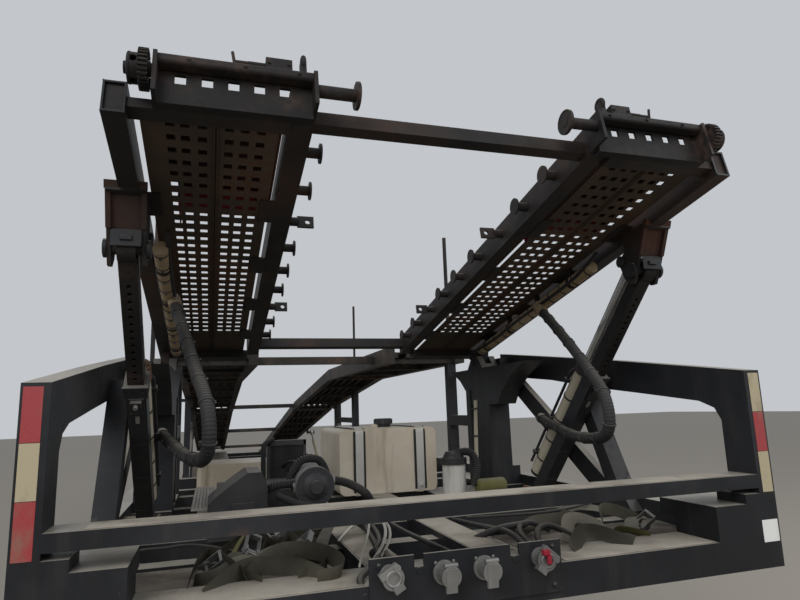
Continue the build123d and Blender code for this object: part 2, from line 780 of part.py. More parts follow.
def rear_frame():
    rails = [
        side_plate([
            (11240, 400), (11500, rear_rail_under), (14900, rear_rail_under), (16080, 440), (16080, 560),
            (14700, rear_rail_top - 4), (11660, rear_rail_top - 4), (11240, 470),
        ], rear_rail),
    ]
    sides = [side_plate(rear_side, rear_side_x)]
    for y in ramp_carrier_y:
        sides.append(block((rear_rail[0], rear_side_x[1] - 20), (y, y + 60), (ramp_z[0] - 50, ramp_z[0])))
        sides.append(block(rear_rail, (y, y + 60), (ramp_z[0] - 50, rear_rail_under + 20)))
        carrier_x = (rear_side_x[0], rear_side_x[1] - 20)
        sides.append(block(carrier_x, (y, y + 60), (ramp_z[0] - 50, rear_rail_top)))
    cross = [block(across(rear_side_x[0]), (y, y + 80), (low, high)) for y, low, high in rear_cross]
    tail = [
        block(across(rear_side_x[0]), (nose_to_tail - 70, nose_to_tail), (430, 560)),
        block(across(half_width - 195), (nose_to_tail - 60, nose_to_tail), (380, 430)),
    ]
    return fuse(mirrored(rails + sides) + cross + tail)


nodes["rear_frame"] = rear_frame()

# Axles with their arms, and the air springs and hangers that join them to the rear rails
arm_pivot_back = 520
spring_forward = 330
spring_radius = 112
suspension_x = (rear_rail_x + 4, rear_rail_x + rear_rail_width - 4)


def axle(y):
    beam = cross_rod(across(760), y, tyre_radius, 62)
    spindle = cross_rod(across(1222), y, tyre_radius, spindle_radius)
    arm = side_plate([(y - arm_pivot_back - 50, tyre_radius + 12), (y - arm_pivot_back, tyre_radius + 50),
                      (y - 80, tyre_radius + 70), (y + 90, tyre_radius + 70), (y + 230, tyre_radius + 48),
                      (y + spring_forward + 100, tyre_radius + 48), (y + spring_forward + 100, tyre_radius),
                      (y + 100, tyre_radius - 10), (y + 80, tyre_radius - 70),
                      (y - 80, tyre_radius - 70), (y - 110, tyre_radius),
                      (y - arm_pivot_back, tyre_radius - 30)],
                     (suspension_x[0] + 10, suspension_x[1] - 10))
    bore = cross_rod((suspension_x[0], suspension_x[1]), y - arm_pivot_back, tyre_radius + 10, 20)
    brake = cross_rod((rear_rail_x + 100, rear_rail_x + 130), y, tyre_radius, 150)
    return fuse([beam, spindle] + mirrored([arm - bore, brake]))


def suspension(y):
    pivot = y - arm_pivot_back
    line = [(pivot - 110, rear_rail_under), (pivot - 50, tyre_radius - 30), (pivot + 40, tyre_radius - 30),
            (pivot + 110, rear_rail_under)]
    cheeks = [
        side_plate(line, x)
        for x in ((suspension_x[0], suspension_x[0] + 9.7), (suspension_x[1] - 9.7, suspension_x[1]))
    ]
    top = block(suspension_x, (pivot - 110, pivot + 110), (rear_rail_under - 14, rear_rail_under))
    pin = cross_rod((suspension_x[0] + 1, suspension_x[1] - 1), pivot, tyre_radius + 10, 19.7)
    hanger = fuse(cheeks + [top, pin])
    spring_x = (suspension_x[0] + suspension_x[1]) / 2
    spring_y = y + spring_forward
    spring = rod((spring_x, spring_y, tyre_radius + 62), (spring_x, spring_y, rear_rail_under), spring_radius)
    seat = rod((spring_x, spring_y, tyre_radius + 48), (spring_x, spring_y, tyre_radius + 62), 60)
    return [hanger, spring + seat]


for number, y in enumerate(axle_y, start=1):
    nodes[f"axle_{number}"] = axle(y)
nodes["suspension"] = separate(mirrored([solid for y in axle_y for solid in suspension(y)]))

# Twin wheels
outer_tyre_x = half_width - tyre_width / 2
inner_tyre_x = outer_tyre_x - tyre_width - tyre_gap
rim_half = 95
lip_width = 12


def turned(profile, y):
    """A profile of (x, radius) points turned about an axle."""
    face = make_face(Polyline(*profile, close=True))
    return Pos(0, y, tyre_radius) * revolve(face, Axis.X)


def rims(y, side):
    low, high = inner_tyre_x - rim_half, outer_tyre_x + rim_half
    middle = (inner_tyre_x + outer_tyre_x) / 2
    lip = rim_radius + rim_lip
    bore = spindle_radius + spindle_clearance
    outer_bead, inner_bead = outer_tyre_x - rim_half, inner_tyre_x + rim_half
    outline = [
        (772, bore), (1236, bore), (1236, 84), (1120, hub_radius), (middle + 12, hub_radius),
        (middle + 12, rim_radius - 17), (high, rim_radius - 17), (high, lip), (high - lip_width, lip),
        (high - lip_width, rim_radius), (outer_bead + lip_width, rim_radius), (outer_bead + lip_width, lip),
        (outer_bead, lip), (outer_bead, rim_radius), (inner_bead, rim_radius), (inner_bead, lip),
        (inner_bead - lip_width, lip), (inner_bead - lip_width, rim_radius), (low + lip_width, rim_radius),
        (low + lip_width, lip), (low, lip), (low, rim_radius - 17), (middle - 12, rim_radius - 17),
        (middle - 12, drum_radius), (800, drum_radius), (800, 160), (middle - 60, 160),
        (middle - 60, hub_radius), (772, hub_radius),
    ]
    wheel = turned(outline, y)
    cap = cross_rod((1236, 1262), y, tyre_radius, 70)
    wheel = wheel + cap
    return wheel if side > 0 else mirror(wheel, about=Plane.YZ)


def tyres(y, side):
    solids = []
    bead = rim_radius + 0.3
    half = tyre_width / 2
    for x in (inner_tyre_x, outer_tyre_x):
        seat = rim_half - lip_width - 0.3
        outline = [
            (x - seat, bead), (x + seat, bead), (x + seat, bead + rim_lip + 2), (x + half - 8, bead + 34),
            (x + half, bead + 78), (x + half - 3, tyre_radius - 42), (x + half - 18, tyre_radius - 9),
            (x + half - 34, tyre_radius), (x - half + 34, tyre_radius), (x - half + 18, tyre_radius - 9),
            (x - half + 3, tyre_radius - 42), (x - half, bead + 78), (x - half + 8, bead + 34),
            (x - seat, bead + rim_lip + 2),
        ]
        solids.append(turned(outline, y))
    wheel = separate(solids)
    return wheel if side > 0 else mirror(wheel, about=Plane.YZ)


for number, y in enumerate(axle_y, start=1):
    for label, side in (("left", -1), ("right", 1)):
        nodes[f"rims_{number}_{label}"] = rims(y, side)
        nodes[f"tyres_{number}_{label}"] = tyres(y, side)

# Rear deck, built level behind its hinge and then tilted
rear_tilt = Pos(0, hinge_y, hinge_z) * Rot(-rear_slope, 0, 0)
rear_under = -62
rear_cross_pitch = 820


def rear_deck_rails():
    low, high = rear_under, rear_under + deck_rail_depth
    side = [
        block((deck_inner - 24, deck_inner + 46), (rear_hinge_lug, rear_length), (low, high)),
        block((outer_beam_x, outer_beam_x + 82), (rear_hinge_lug, rear_length), (low, high)),
    ]
    y = rear_hinge_lug + 10
    while y < rear_length - 80:
        side.append(block((deck_inner + 46, outer_beam_x), (y, y + 60), (low + 4, low + 34)))
        y += rear_cross_pitch
    lug_end = rear_hinge_lug + 30
    lug_line = [(-40, -36), (40, -44), (lug_end, low + 6), (lug_end, high - 6), (-26, 36)]
    lug = side_plate(lug_line, (outer_beam_x + 30, outer_beam_x + 80))
    bore = cross_rod((outer_beam_x, outer_beam_x + 90), 0, 0, pin_radius + pin_clearance)
    eye_y, eye_z = rear_eye_along, -rear_eye_drop
    bracket = side_plate([(eye_y - 110, high - 20), (eye_y - 50, eye_z - 30), (eye_y + 50, eye_z - 30),
                          (eye_y + 110, high - 20)], (outer_beam_x + 82, outer_beam_x + 100))
    pin = cross_rod((outer_beam_x + 100, rear_ram_x + 36), eye_y, eye_z, pin_radius - 3)
    washer = cross_rod((rear_ram_x + 38, rear_ram_x + 48), eye_y, eye_z, 52)
    washer = fuse([washer, cross_rod((rear_ram_x + 30, rear_ram_x + 40), eye_y, eye_z, pin_radius - 3)])
    bars = [
        block(across(deck_inner - 24), (2830, 2890), (low + 30, low + 90)),
        block(across(deck_inner - 24), (rear_length - 90, rear_length - 30), (low + 30, low + 90)),
    ]
    return rear_tilt * fuse(mirrored(side + [lug - bore, bracket, pin, washer]) + bars)


def rear_deck_floor():
    line = ((rear_hinge_lug + 10, rear_under), (rear_length - 10, rear_under))
    floor = ribbed_floor(line, between_rails, deck_rail_depth - deck_floor_drop)
    return rear_tilt * separate(mirrored([floor]))


nodes["rear_deck_rails"] = rear_deck_rails()
nodes["rear_deck_floor"] = rear_deck_floor()

# Rams of the rear deck, each with its foot on the belly sill
turn = math.radians(rear_slope)
rear_eye_y = hinge_y + rear_eye_along * math.cos(turn) - rear_eye_drop * math.sin(turn)
rear_eye_z = hinge_z - rear_eye_along * math.sin(turn) - rear_eye_drop * math.cos(turn)
rear_ram_length = math.hypot(rear_eye_y - ram_base_y, rear_eye_z - ram_base_z)
rear_ram_angle = math.degrees(math.atan2(rear_eye_z - ram_base_z, rear_eye_y - ram_base_y))
rear_barrel_end = 1010
rear_boss_radius = 44
rear_eye_bore = 42
rear_ram_place = Pos(0, ram_base_y, ram_base_z) * Rot(rear_ram_angle - 90, 0, 0)


def ram_feet():
    line = [(ram_base_y - 120, belly_top), (ram_base_y - 46, ram_base_z + 46),
            (ram_base_y + 46, ram_base_z + 46), (ram_base_y + 120, belly_top)]
    cheeks = [
        side_plate(line, x)
        for x in ((rear_ram_x - 53, rear_ram_x - 43), (rear_ram_x + 43, rear_ram_x + 53))
    ]
    pin = cross_rod((rear_ram_x - 56, rear_ram_x + 56), ram_base_y, ram_base_z, pin_radius)
    return separate(mirrored([fuse(cheeks + [pin])]))


def rear_barrel(side):
    barrel = rod((rear_ram_x, 0, 20), (rear_ram_x, 0, rear_barrel_end), rear_ram_radius)
    bore = rod((rear_ram_x, 0, 110), (rear_ram_x, 0, rear_barrel_end + 1), rear_rod_radius + slider_clearance)
    boss = cross_rod((rear_ram_x - 42.7, rear_ram_x + 42.7), 0, 0, rear_boss_radius)
    eye = cross_rod((rear_ram_x - 60, rear_ram_x + 60), 0, 0, pin_radius + pin_clearance)
    placed = rear_ram_place * (fuse([barrel - bore, boss]) - eye)
    return placed if side > 0 else mirror(placed, about=Plane.YZ)


def rear_rod(side):
    bar = rod((rear_ram_x, 0, 560), (rear_ram_x, 0, rear_ram_length), rear_rod_radius)
    eye = cross_rod((rear_ram_x - 26, rear_ram_x + 26), 0, rear_ram_length, rear_eye_bore + 14)
    bore = cross_rod((rear_ram_x - 60, rear_ram_x + 60), 0, rear_ram_length, rear_eye_bore)
    placed = rear_ram_place * (fuse([bar, eye]) - bore)
    return placed if side > 0 else mirror(placed, about=Plane.YZ)


nodes["ram_feet"] = ram_feet()
for label, side in (("left", -1), ("right", 1)):
    nodes[f"rear_barrel_{label}"] = rear_barrel(side)
    nodes[f"rear_rod_{label}"] = rear_rod(side)

# Landing legs with their feet and tie
def landing_legs():
    half, inner, foot_half = leg_size / 2, leg_inner_size / 2, foot_size / 2
    sides = [
        block((leg_x - half, leg_x + half), (leg_y - half, leg_y + half), (leg_split, plate_height)),
        block((leg_x - inner, leg_x + inner), (leg_y - inner, leg_y + inner), (foot_thickness, leg_split)),
        block((leg_x - foot_half, leg_x + foot_half), (leg_y - foot_half, leg_y + foot_half),
              (0, foot_thickness)),
        block((leg_x - half - 30, leg_x + half + 30), (leg_y - half - 40, leg_y + half + 40),
              (plate_height, plate_height + 12)),
        sloped_bar((leg_y, 700), (leg_y + 470, plate_height - 30), (leg_x - 30, leg_x + 30), 60),
        block((leg_x - 40, leg_x + 40), (leg_y + 400, neck_length - 110),
              (plate_height - 56, plate_height + 12)),
    ]
    tie = cross_rod(across(leg_x - half + 2), leg_y, 1000, 22)
    return fuse(mirrored(sides) + [tie])


nodes["landing_legs"] = landing_legs()

# Power pack and tanks on the neck
tank_x = (-30, 610)
tank_y = (1900, 2560)
tank_z = (neck_top, 1700)


def strapped_tank():
    body = block(tank_x, tank_y, tank_z)
    edges = body.edges().filter_by(Axis.Y)
    body = fillet(edges, 38)
    neck = rod((310, 2230, tank_z[1]), (310, 2230, tank_z[1] + 22), 55)
    return body + neck


def low_tank():
    body = block((410 - half_width, -300), (2600, 3060), (neck_top - 25, 1480))
    return fillet(body.edges().filter_by(Axis.Y), 45)


def engine_block():
    return block((-760, -300), (1320, 1840), (neck_top - 25, 1440))


def engine_cover():
    """A moulded cover with a ridge towards the middle and a fall to the side."""
    line = [(-545, neck_top - 25), (-545, 1500), (-571, 1559), (-633, 1559), (-700, 1515), (-778, 1457),
            (-805, 1430), (-805, neck_top - 25)]
    outline = make_face(Polyline(*line, close=True))
    return extrude(Plane.XZ.offset(-1320) * outline, 310)


def radiator():
    core = block((-470, -240), (1900, 1980), (neck_top, 1655))
    return core


def air_cleaner():
    can = rod((-327, 1010, 1480), (-327, 1300, 1480), 88)
    stand = block((-372, -292), (1100, 1160), (neck_top - 25, 1400))
    return can + stand


def oil_filter():
    can = rod((690, 1800, neck_top - 15), (690, 1800, 1470), 74)
    top = rod((690, 1800, 1470), (690, 1800, 1500), 82)
    return can + top


nodes["strapped_tank"] = strapped_tank()
nodes["low_tank"] = low_tank()
nodes["engine_block"] = engine_block()
nodes["engine_cover"] = engine_cover()
nodes["radiator"] = radiator()
nodes["air_cleaner"] = air_cleaner()
nodes["oil_filter"] = oil_filter()

# Loading ramps stowed under the dovetail, and mud flaps
def stowed_ramps():
    ramp = block(ramp_x, (14400, 15900), ramp_z)
    return separate(mirrored([ramp]))


nodes["stowed_ramps"] = stowed_ramps()


def mud_flaps():
    flap = block((800, 1210), (14208, 14220), (180, 815))
    return separate(mirrored([flap]))


nodes["mud_flaps"] = mud_flaps()

# Free hose loops from the deck bundles to the lift rams

def hose(side):
    points = [Vector(*point) for point in hose_points]
    radii = []
    for before, here, after in zip(points, points[1:], points[2:]):
        turn_angle = math.radians((here - before).get_angle(after - here))
        shorter = min((here - before).length, (after - here).length)
        radii.append(0.45 * shorter / math.tan(turn_angle / 2))
    path = FilletPolyline(*points, radius=radii)
    start = Plane(origin=path @ 0, z_dir=path % 0)
    tube = sweep(start * Circle(hose_radius), path=path)
    print("hose radii", [round(radius) for radius in radii], "length", round(path.length))
    return tube if side > 0 else mirror(tube, about=Plane.YZ)


for label, side in (("left", -1), ("right", 1)):
    nodes[f"hose_{label}"] = hose(side)

# Writing: the origin is under the middle of the whole vehicle's box
front_end = min(shape.bounding_box().min.Y for shape in nodes.values())
rear_end = max(shape.bounding_box().max.Y for shape in nodes.values())
centring = Pos(0, -(front_end + rear_end) / 2, 0)
print("nose plane at", round(-(front_end + rear_end) / 2, 3))
os.makedirs("parts", exist_ok=True)
for name, shape in nodes.items():
    export_step(centring * shape, f"parts/{name}.step")
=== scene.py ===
import bpy
import bmesh
import json
import math
from mathutils import Matrix, Vector


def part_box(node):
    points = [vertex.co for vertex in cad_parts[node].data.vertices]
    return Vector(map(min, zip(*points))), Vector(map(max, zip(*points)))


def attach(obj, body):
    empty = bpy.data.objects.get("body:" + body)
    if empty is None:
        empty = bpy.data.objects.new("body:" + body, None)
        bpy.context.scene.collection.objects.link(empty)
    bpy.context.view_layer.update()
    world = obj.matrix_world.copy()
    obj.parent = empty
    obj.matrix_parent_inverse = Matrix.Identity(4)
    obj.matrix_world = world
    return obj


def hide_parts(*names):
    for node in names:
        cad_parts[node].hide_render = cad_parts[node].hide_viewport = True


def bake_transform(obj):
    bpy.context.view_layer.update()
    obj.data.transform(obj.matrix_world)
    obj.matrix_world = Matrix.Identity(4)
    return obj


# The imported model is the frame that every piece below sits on
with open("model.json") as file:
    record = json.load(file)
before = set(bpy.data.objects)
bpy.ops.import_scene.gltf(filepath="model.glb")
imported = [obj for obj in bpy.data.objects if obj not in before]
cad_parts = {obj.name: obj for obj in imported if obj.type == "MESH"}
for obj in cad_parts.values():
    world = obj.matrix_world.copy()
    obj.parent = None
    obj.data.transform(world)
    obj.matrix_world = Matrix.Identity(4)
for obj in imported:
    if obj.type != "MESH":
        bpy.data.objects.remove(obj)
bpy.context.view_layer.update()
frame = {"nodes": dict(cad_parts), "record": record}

# Places shared by many pieces, in metres. Y is counted from the front plane of the nose posts
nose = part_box("service_plate")[1][1]
pivotPlace = (2.1, 2.13)  # y and z of the front deck's hinge
frontSlope = 11.9
hingePlace = (8.2, 1.9)  # y and z of the rear deck's hinge
sides = (("left", -1), ("right", 1))


def at(x, y, z):
    return Vector((x, y + nose, z))


def turnedAt(place, angle, axis):
    return Matrix.Translation(place) @ Matrix.Rotation(angle, 4, axis)


frontDeckPlace = turnedAt(at(0, *pivotPlace), math.radians(-frontSlope), "X")


# Camera: stands low in front of the nose, left of the middle, and looks up a little
camera = {
    "place": (-0.794, -1.88, 1.83),
    "right": (0.95494, -0.29498, -0.03279),
    "up": (-0.02129, -0.17825, 0.98376),
    "lens": 26.91,
    "sensor": 36.0,
    "clip": (0.05, 500),
}


def makeCamera():
    data = bpy.data.cameras.new("camera")
    data.lens = camera["lens"]
    data.sensor_width = camera["sensor"]
    data.clip_start, data.clip_end = camera["clip"]
    seen = bpy.data.objects.new("camera", data)
    right = Vector(camera["right"]).normalized()
    up = Vector(camera["up"])
    up = (up - right * up.dot(right)).normalized()
    turned = Matrix((right, up, right.cross(up))).transposed().to_4x4()
    seen.matrix_world = Matrix.Translation(at(*camera["place"])) @ turned
    bpy.context.scene.collection.objects.link(seen)
    bpy.context.scene.camera = seen


makeCamera()
print("camera set")


# Mesh helpers: every shape starts from an operator and is placed in the mesh itself
def boxIn(bm, low, high, place=Matrix()):
    low, high = Vector(low), Vector(high)
    fit = Matrix.Translation((low + high) / 2) @ Matrix.Diagonal((*(high - low), 1))
    bmesh.ops.create_cube(bm, size=1, matrix=place @ fit)


def alongMatrix(start, end):
    start, end = Vector(start), Vector(end)
    turn = (end - start).to_track_quat("Z", "Y").to_matrix().to_4x4()
    return Matrix.Translation((start + end) / 2) @ turn


def rodIn(bm, start, end, radius, segments=20, endRadius=None, place=Matrix()):
    bmesh.ops.create_cone(
        bm, cap_ends=True, segments=segments, radius1=radius, radius2=endRadius or radius,
        depth=(Vector(end) - Vector(start)).length, matrix=place @ alongMatrix(start, end),
    )


def addedSince(bm, before):
    return [vert for vert in bm.verts if vert not in before]


def edgesOf(verts):
    return list(dict.fromkeys(edge for vert in verts for edge in vert.link_edges))


def facesOf(verts):
    return list(dict.fromkeys(face for vert in verts for face in vert.link_faces))


def ringIn(bm, middle, axis, radius, thick, segments=28, place=Matrix()):
    before = set(bm.verts)
    circle = bmesh.ops.create_circle(bm, segments=8, radius=thick)["verts"]
    bmesh.ops.rotate(bm, verts=circle, cent=(0, 0, 0), matrix=Matrix.Rotation(math.pi / 2, 3, "X"))
    bmesh.ops.translate(bm, verts=circle, vec=(radius, 0, 0))
    bmesh.ops.spin(bm, geom=circle + edgesOf(circle), cent=(0, 0, 0), axis=(0, 0, 1), dvec=(0, 0, 0),
                   angle=2 * math.pi, steps=segments, use_merge=True, use_duplicate=False)
    turned = Matrix.Translation(middle) @ Vector(axis).to_track_quat("Z", "Y").to_matrix().to_4x4()
    bmesh.ops.transform(bm, matrix=place @ turned, verts=addedSince(bm, before))


# A closed profile of places along the axis and radii, turned round the local Z axis
def turnedIn(bm, profile, segments, place):
    before = set(bm.verts)
    rims = []
    for along, radius in profile:
        level = Matrix.Translation((0, 0, along))
        circle = bmesh.ops.create_circle(bm, segments=segments, radius=radius, matrix=level)["verts"]
        rims.append(edgesOf(circle))
    for near, far in zip(rims, rims[1:] + rims[:1]):
        bmesh.ops.bridge_loops(bm, edges=near + far)
    bmesh.ops.transform(bm, matrix=place, verts=addedSince(bm, before))


def sleeveIn(bm, start, end, outer, inner, segments=32, place=Matrix()):
    half = (Vector(end) - Vector(start)).length / 2
    profile = ((-half, outer), (half, outer), (half, inner), (-half, inner))
    turnedIn(bm, profile, segments, place @ alongMatrix(start, end))


# A washer and a six-sided head, in shares of the bolt's size
def boltIn(bm, middle, axis, size, place=Matrix()):
    middle, axis = Vector(middle), Vector(axis).normalized()
    rodIn(bm, middle - axis * size * 0.1, middle + axis * size * 0.18, size * 1.05, 16, place=place)
    rodIn(bm, middle + axis * size * 0.1, middle + axis * size * 0.8, size * 0.78, 6, place=place)


def splinePoints(points, steps=14):
    data = bpy.data.curves.new("line", "CURVE")
    data.dimensions = "3D"
    data.resolution_u = steps
    spline = data.splines.new("NURBS")
    spline.points.add(len(points) - 1)
    for spot, point in zip(spline.points, points):
        spot.co = (*point, 1)
    spline.order_u = 3
    spline.use_endpoint_u = True
    carrier = bpy.data.objects.new("line", data)
    mesh = bpy.data.meshes.new_from_object(carrier)
    line = [vert.co.copy() for vert in mesh.vertices]
    bpy.data.objects.remove(carrier)
    bpy.data.meshes.remove(mesh)
    return line


def lineLength(line):
    return sum((after - before).length for before, after in zip(line, line[1:]))


def evenPoints(line, steps):
    long = lineLength(line)
    points = [line[0]]
    gone, index = 0.0, 0
    for step in range(1, steps):
        wanted = long * step / steps
        while gone + (line[index + 1] - line[index]).length < wanted:
            gone += (line[index + 1] - line[index]).length
            index += 1
        part = (wanted - gone) / (line[index + 1] - line[index]).length
        points.append(line[index].lerp(line[index + 1], part))
    return points + [line[-1]]


# "swell" gives the radius at each length along the line, "flat" presses the round section
def tubeIn(bm, line, radius, round=18, swell=None, flat=1.0, side=None):
    loops = []
    side = Vector(side or (line[1] - line[0]).orthogonal())
    reached = 0.0
    for count, point in enumerate(line):
        before, after = line[max(count - 1, 0)], line[min(count + 1, len(line) - 1)]
        along = (after - before).normalized()
        side = (side - along * side.dot(along)).normalized()
        reached += (point - before).length if count else 0.0
        turned = Matrix((side, along.cross(side), along)).transposed().to_4x4()
        spot = Matrix.Translation(point) @ turned @ Matrix.Diagonal((1, flat, 1, 1))
        size = swell(reached) if swell else radius
        ring = bmesh.ops.create_circle(bm, segments=round, radius=size, matrix=spot)["verts"]
        loops.append(edgesOf(ring))
        if count in (0, len(line) - 1):
            bmesh.ops.contextual_create(bm, geom=ring)
    for near, far in zip(loops, loops[1:]):
        bmesh.ops.bridge_loops(bm, edges=near + far)


def strapIn(bm, points, wide, thick, side):
    tubeIn(bm, splinePoints([at(*point) for point in points], 10), wide / 2, 8, flat=thick / wide, side=side)


def pipeIn(bm, points, radius, round=14, steps=10):
    tubeIn(bm, splinePoints([at(*point) for point in points], steps), radius, round)


# Grooves run round the tube at every pitch. A higher power makes them narrower
def ribbedIn(bm, line, radius, rib, pitch, round=16, power=2):
    fine = evenPoints(line, int(lineLength(line) / pitch * 6))

    def swell(reached):
        return radius - rib * (0.5 + 0.5 * math.cos(2 * math.pi * reached / pitch)) ** power

    tubeIn(bm, fine, radius, round, swell=swell)
    return fine


def barIn(bm, start, end, x, thick):
    start, end = at(0, *start), at(0, *end)
    along = (end - start).normalized()
    across = Vector((1, 0, 0))
    turned = Matrix((across, along.cross(across), along)).transposed().to_4x4()
    half = (end - start).length / 2
    low, high = (x[0], -thick / 2, -half), (x[1], thick / 2, half)
    boxIn(bm, low, high, Matrix.Translation((start + end) / 2) @ turned)


def acrossSides(side, low, high):
    return (low, high) if side > 0 else (-high, -low)


def circlePoints(count, radius, start=0.0):
    angles = [start + 2 * math.pi * turn / count for turn in range(count)]
    return [(radius * math.cos(angle), radius * math.sin(angle)) for angle in angles]


finishes = {}


# The piece takes the finish of the given name, a bevel when one is given, and hangs on its body when it has
# one
def finishPiece(name, bm, body, finish, bevel=0.0, steps=2):
    bmesh.ops.remove_doubles(bm, verts=bm.verts, dist=0.00002)
    bmesh.ops.recalc_face_normals(bm, faces=bm.faces)
    mesh = bpy.data.meshes.new(name)
    bm.to_mesh(mesh)
    bm.free()
    piece = bpy.data.objects.new(name, mesh)
    bpy.context.scene.collection.objects.link(piece)
    mesh.materials.append(finishes[finish])
    if bevel:
        edgeWork = piece.modifiers.new("edges", "BEVEL")
        edgeWork.width = bevel
        edgeWork.segments = steps
        edgeWork.limit_method = "ANGLE"
        edgeWork.angle_limit = math.radians(35)
    mesh.shade_smooth()
    mesh.set_sharp_from_angle(angle=math.radians(38))
    if body:
        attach(piece, body)
    return piece


# Materials. Each finish is one dictionary of colours and amounts
def newMaterial(name):
    material = bpy.data.materials.new(name)
    material.use_nodes = True
    tree = material.node_tree
    return material, tree, tree.nodes["Principled BSDF"]


def setSocket(tree, socket, value):
    if isinstance(value, bpy.types.NodeSocket):
        tree.links.new(value, socket)
    else:
        socket.default_value = (*value, 1) if isinstance(value, tuple) else value


def noiseNode(tree, scale, detail, rough, stretch=(1, 1, 1)):
    coordinates = tree.nodes.new("ShaderNodeTexCoord")
    mapping = tree.nodes.new("ShaderNodeMapping")
    mapping.inputs["Scale"].default_value = stretch
    noise = tree.nodes.new("ShaderNodeTexNoise")
    noise.inputs["Scale"].default_value = scale
    noise.inputs["Detail"].default_value = detail
    noise.inputs["Roughness"].default_value = rough
    tree.links.new(coordinates.outputs["Object"], mapping.inputs["Vector"])
    tree.links.new(mapping.outputs["Vector"], noise.inputs["Vector"])
    return noise.outputs["Fac"]


def rangeNode(tree, value, low, high, bottom=0.0, top=1.0):
    node = tree.nodes.new("ShaderNodeMapRange")
    node.interpolation_type = "SMOOTHSTEP"
    node.inputs["From Min"].default_value = low
    node.inputs["From Max"].default_value = high
    node.inputs["To Min"].default_value = bottom
    node.inputs["To Max"].default_value = top
    tree.links.new(value, node.inputs["Value"])
    return node.outputs["Result"]


def mixNode(tree, amount, first, second):
    node = tree.nodes.new("ShaderNodeMix")
    node.data_type = "RGBA"
    for number, value in ((0, amount), (6, first), (7, second)):  # the factor and the two colours
        setSocket(tree, node.inputs[number], value)
    return node.outputs[2]


def mathNode(tree, work, *values):
    node = tree.nodes.new("ShaderNodeMath")
    node.operation = work
    for socket, value in zip(node.inputs, values):
        setSocket(tree, socket, value)
    return node.outputs[0]


def upwardNode(tree, low=0.55, high=0.95):
    normal = tree.nodes.new("ShaderNodeNewGeometry")
    split = tree.nodes.new("ShaderNodeSeparateXYZ")
    tree.links.new(normal.outputs["Normal"], split.inputs[0])
    return rangeNode(tree, split.outputs["Z"], low, high)


def bumpNode(tree, height, strength, distance):
    node = tree.nodes.new("ShaderNodeBump")
    node.inputs["Strength"].default_value = strength
    node.inputs["Distance"].default_value = distance
    tree.links.new(height, node.inputs["Height"])
    return node.outputs["Normal"]


# Paint fades in patches, dirt runs down it, rust breaks through in spots, and dust lies on what faces up
def wornPaint(name, look):
    material, tree, shader = newMaterial(name)
    broad = noiseNode(tree, look["patch"], 5, 0.6)
    fine = noiseNode(tree, 38, 4, 0.65)
    streaks = noiseNode(tree, 9, 4, 0.6, look["streakStretch"])
    colour = mixNode(tree, rangeNode(tree, broad, 0.35, 0.68), look["paint"], look["faded"])
    colour = mixNode(tree, rangeNode(tree, streaks, 0.5, 0.78, 0, look["streaks"]), colour, look["dirt"])
    spots = rangeNode(tree, broad, *look["rustRange"])
    rustMask = mathNode(tree, "MULTIPLY", spots, rangeNode(tree, fine, 0.36, 0.6))
    colour = mixNode(tree, rustMask, colour, look["rust"])
    specks = rangeNode(tree, noiseNode(tree, 120, 3, 0.7), 0.66, 0.74, 0, look["specks"])
    colour = mixNode(tree, specks, colour, look["rust"])
    dusty = mathNode(tree, "MULTIPLY", upwardNode(tree), rangeNode(tree, broad, 0.2, 0.62, *look["dusty"]))
    colour = mixNode(tree, dusty, colour, look["dust"])
    tree.links.new(colour, shader.inputs["Base Color"])
    rough = mathNode(tree, "MULTIPLY_ADD", fine, 0.3, look["roughness"] - 0.15)
    tree.links.new(rough, shader.inputs["Roughness"])
    relief = bumpNode(tree, mathNode(tree, "ADD", fine, rustMask), 0.35, 0.0012)
    tree.links.new(relief, shader.inputs["Normal"])
    shader.inputs["Metallic"].default_value = look["metallic"]
    shader.inputs["Specular IOR Level"].default_value = look["shine"]
    return material


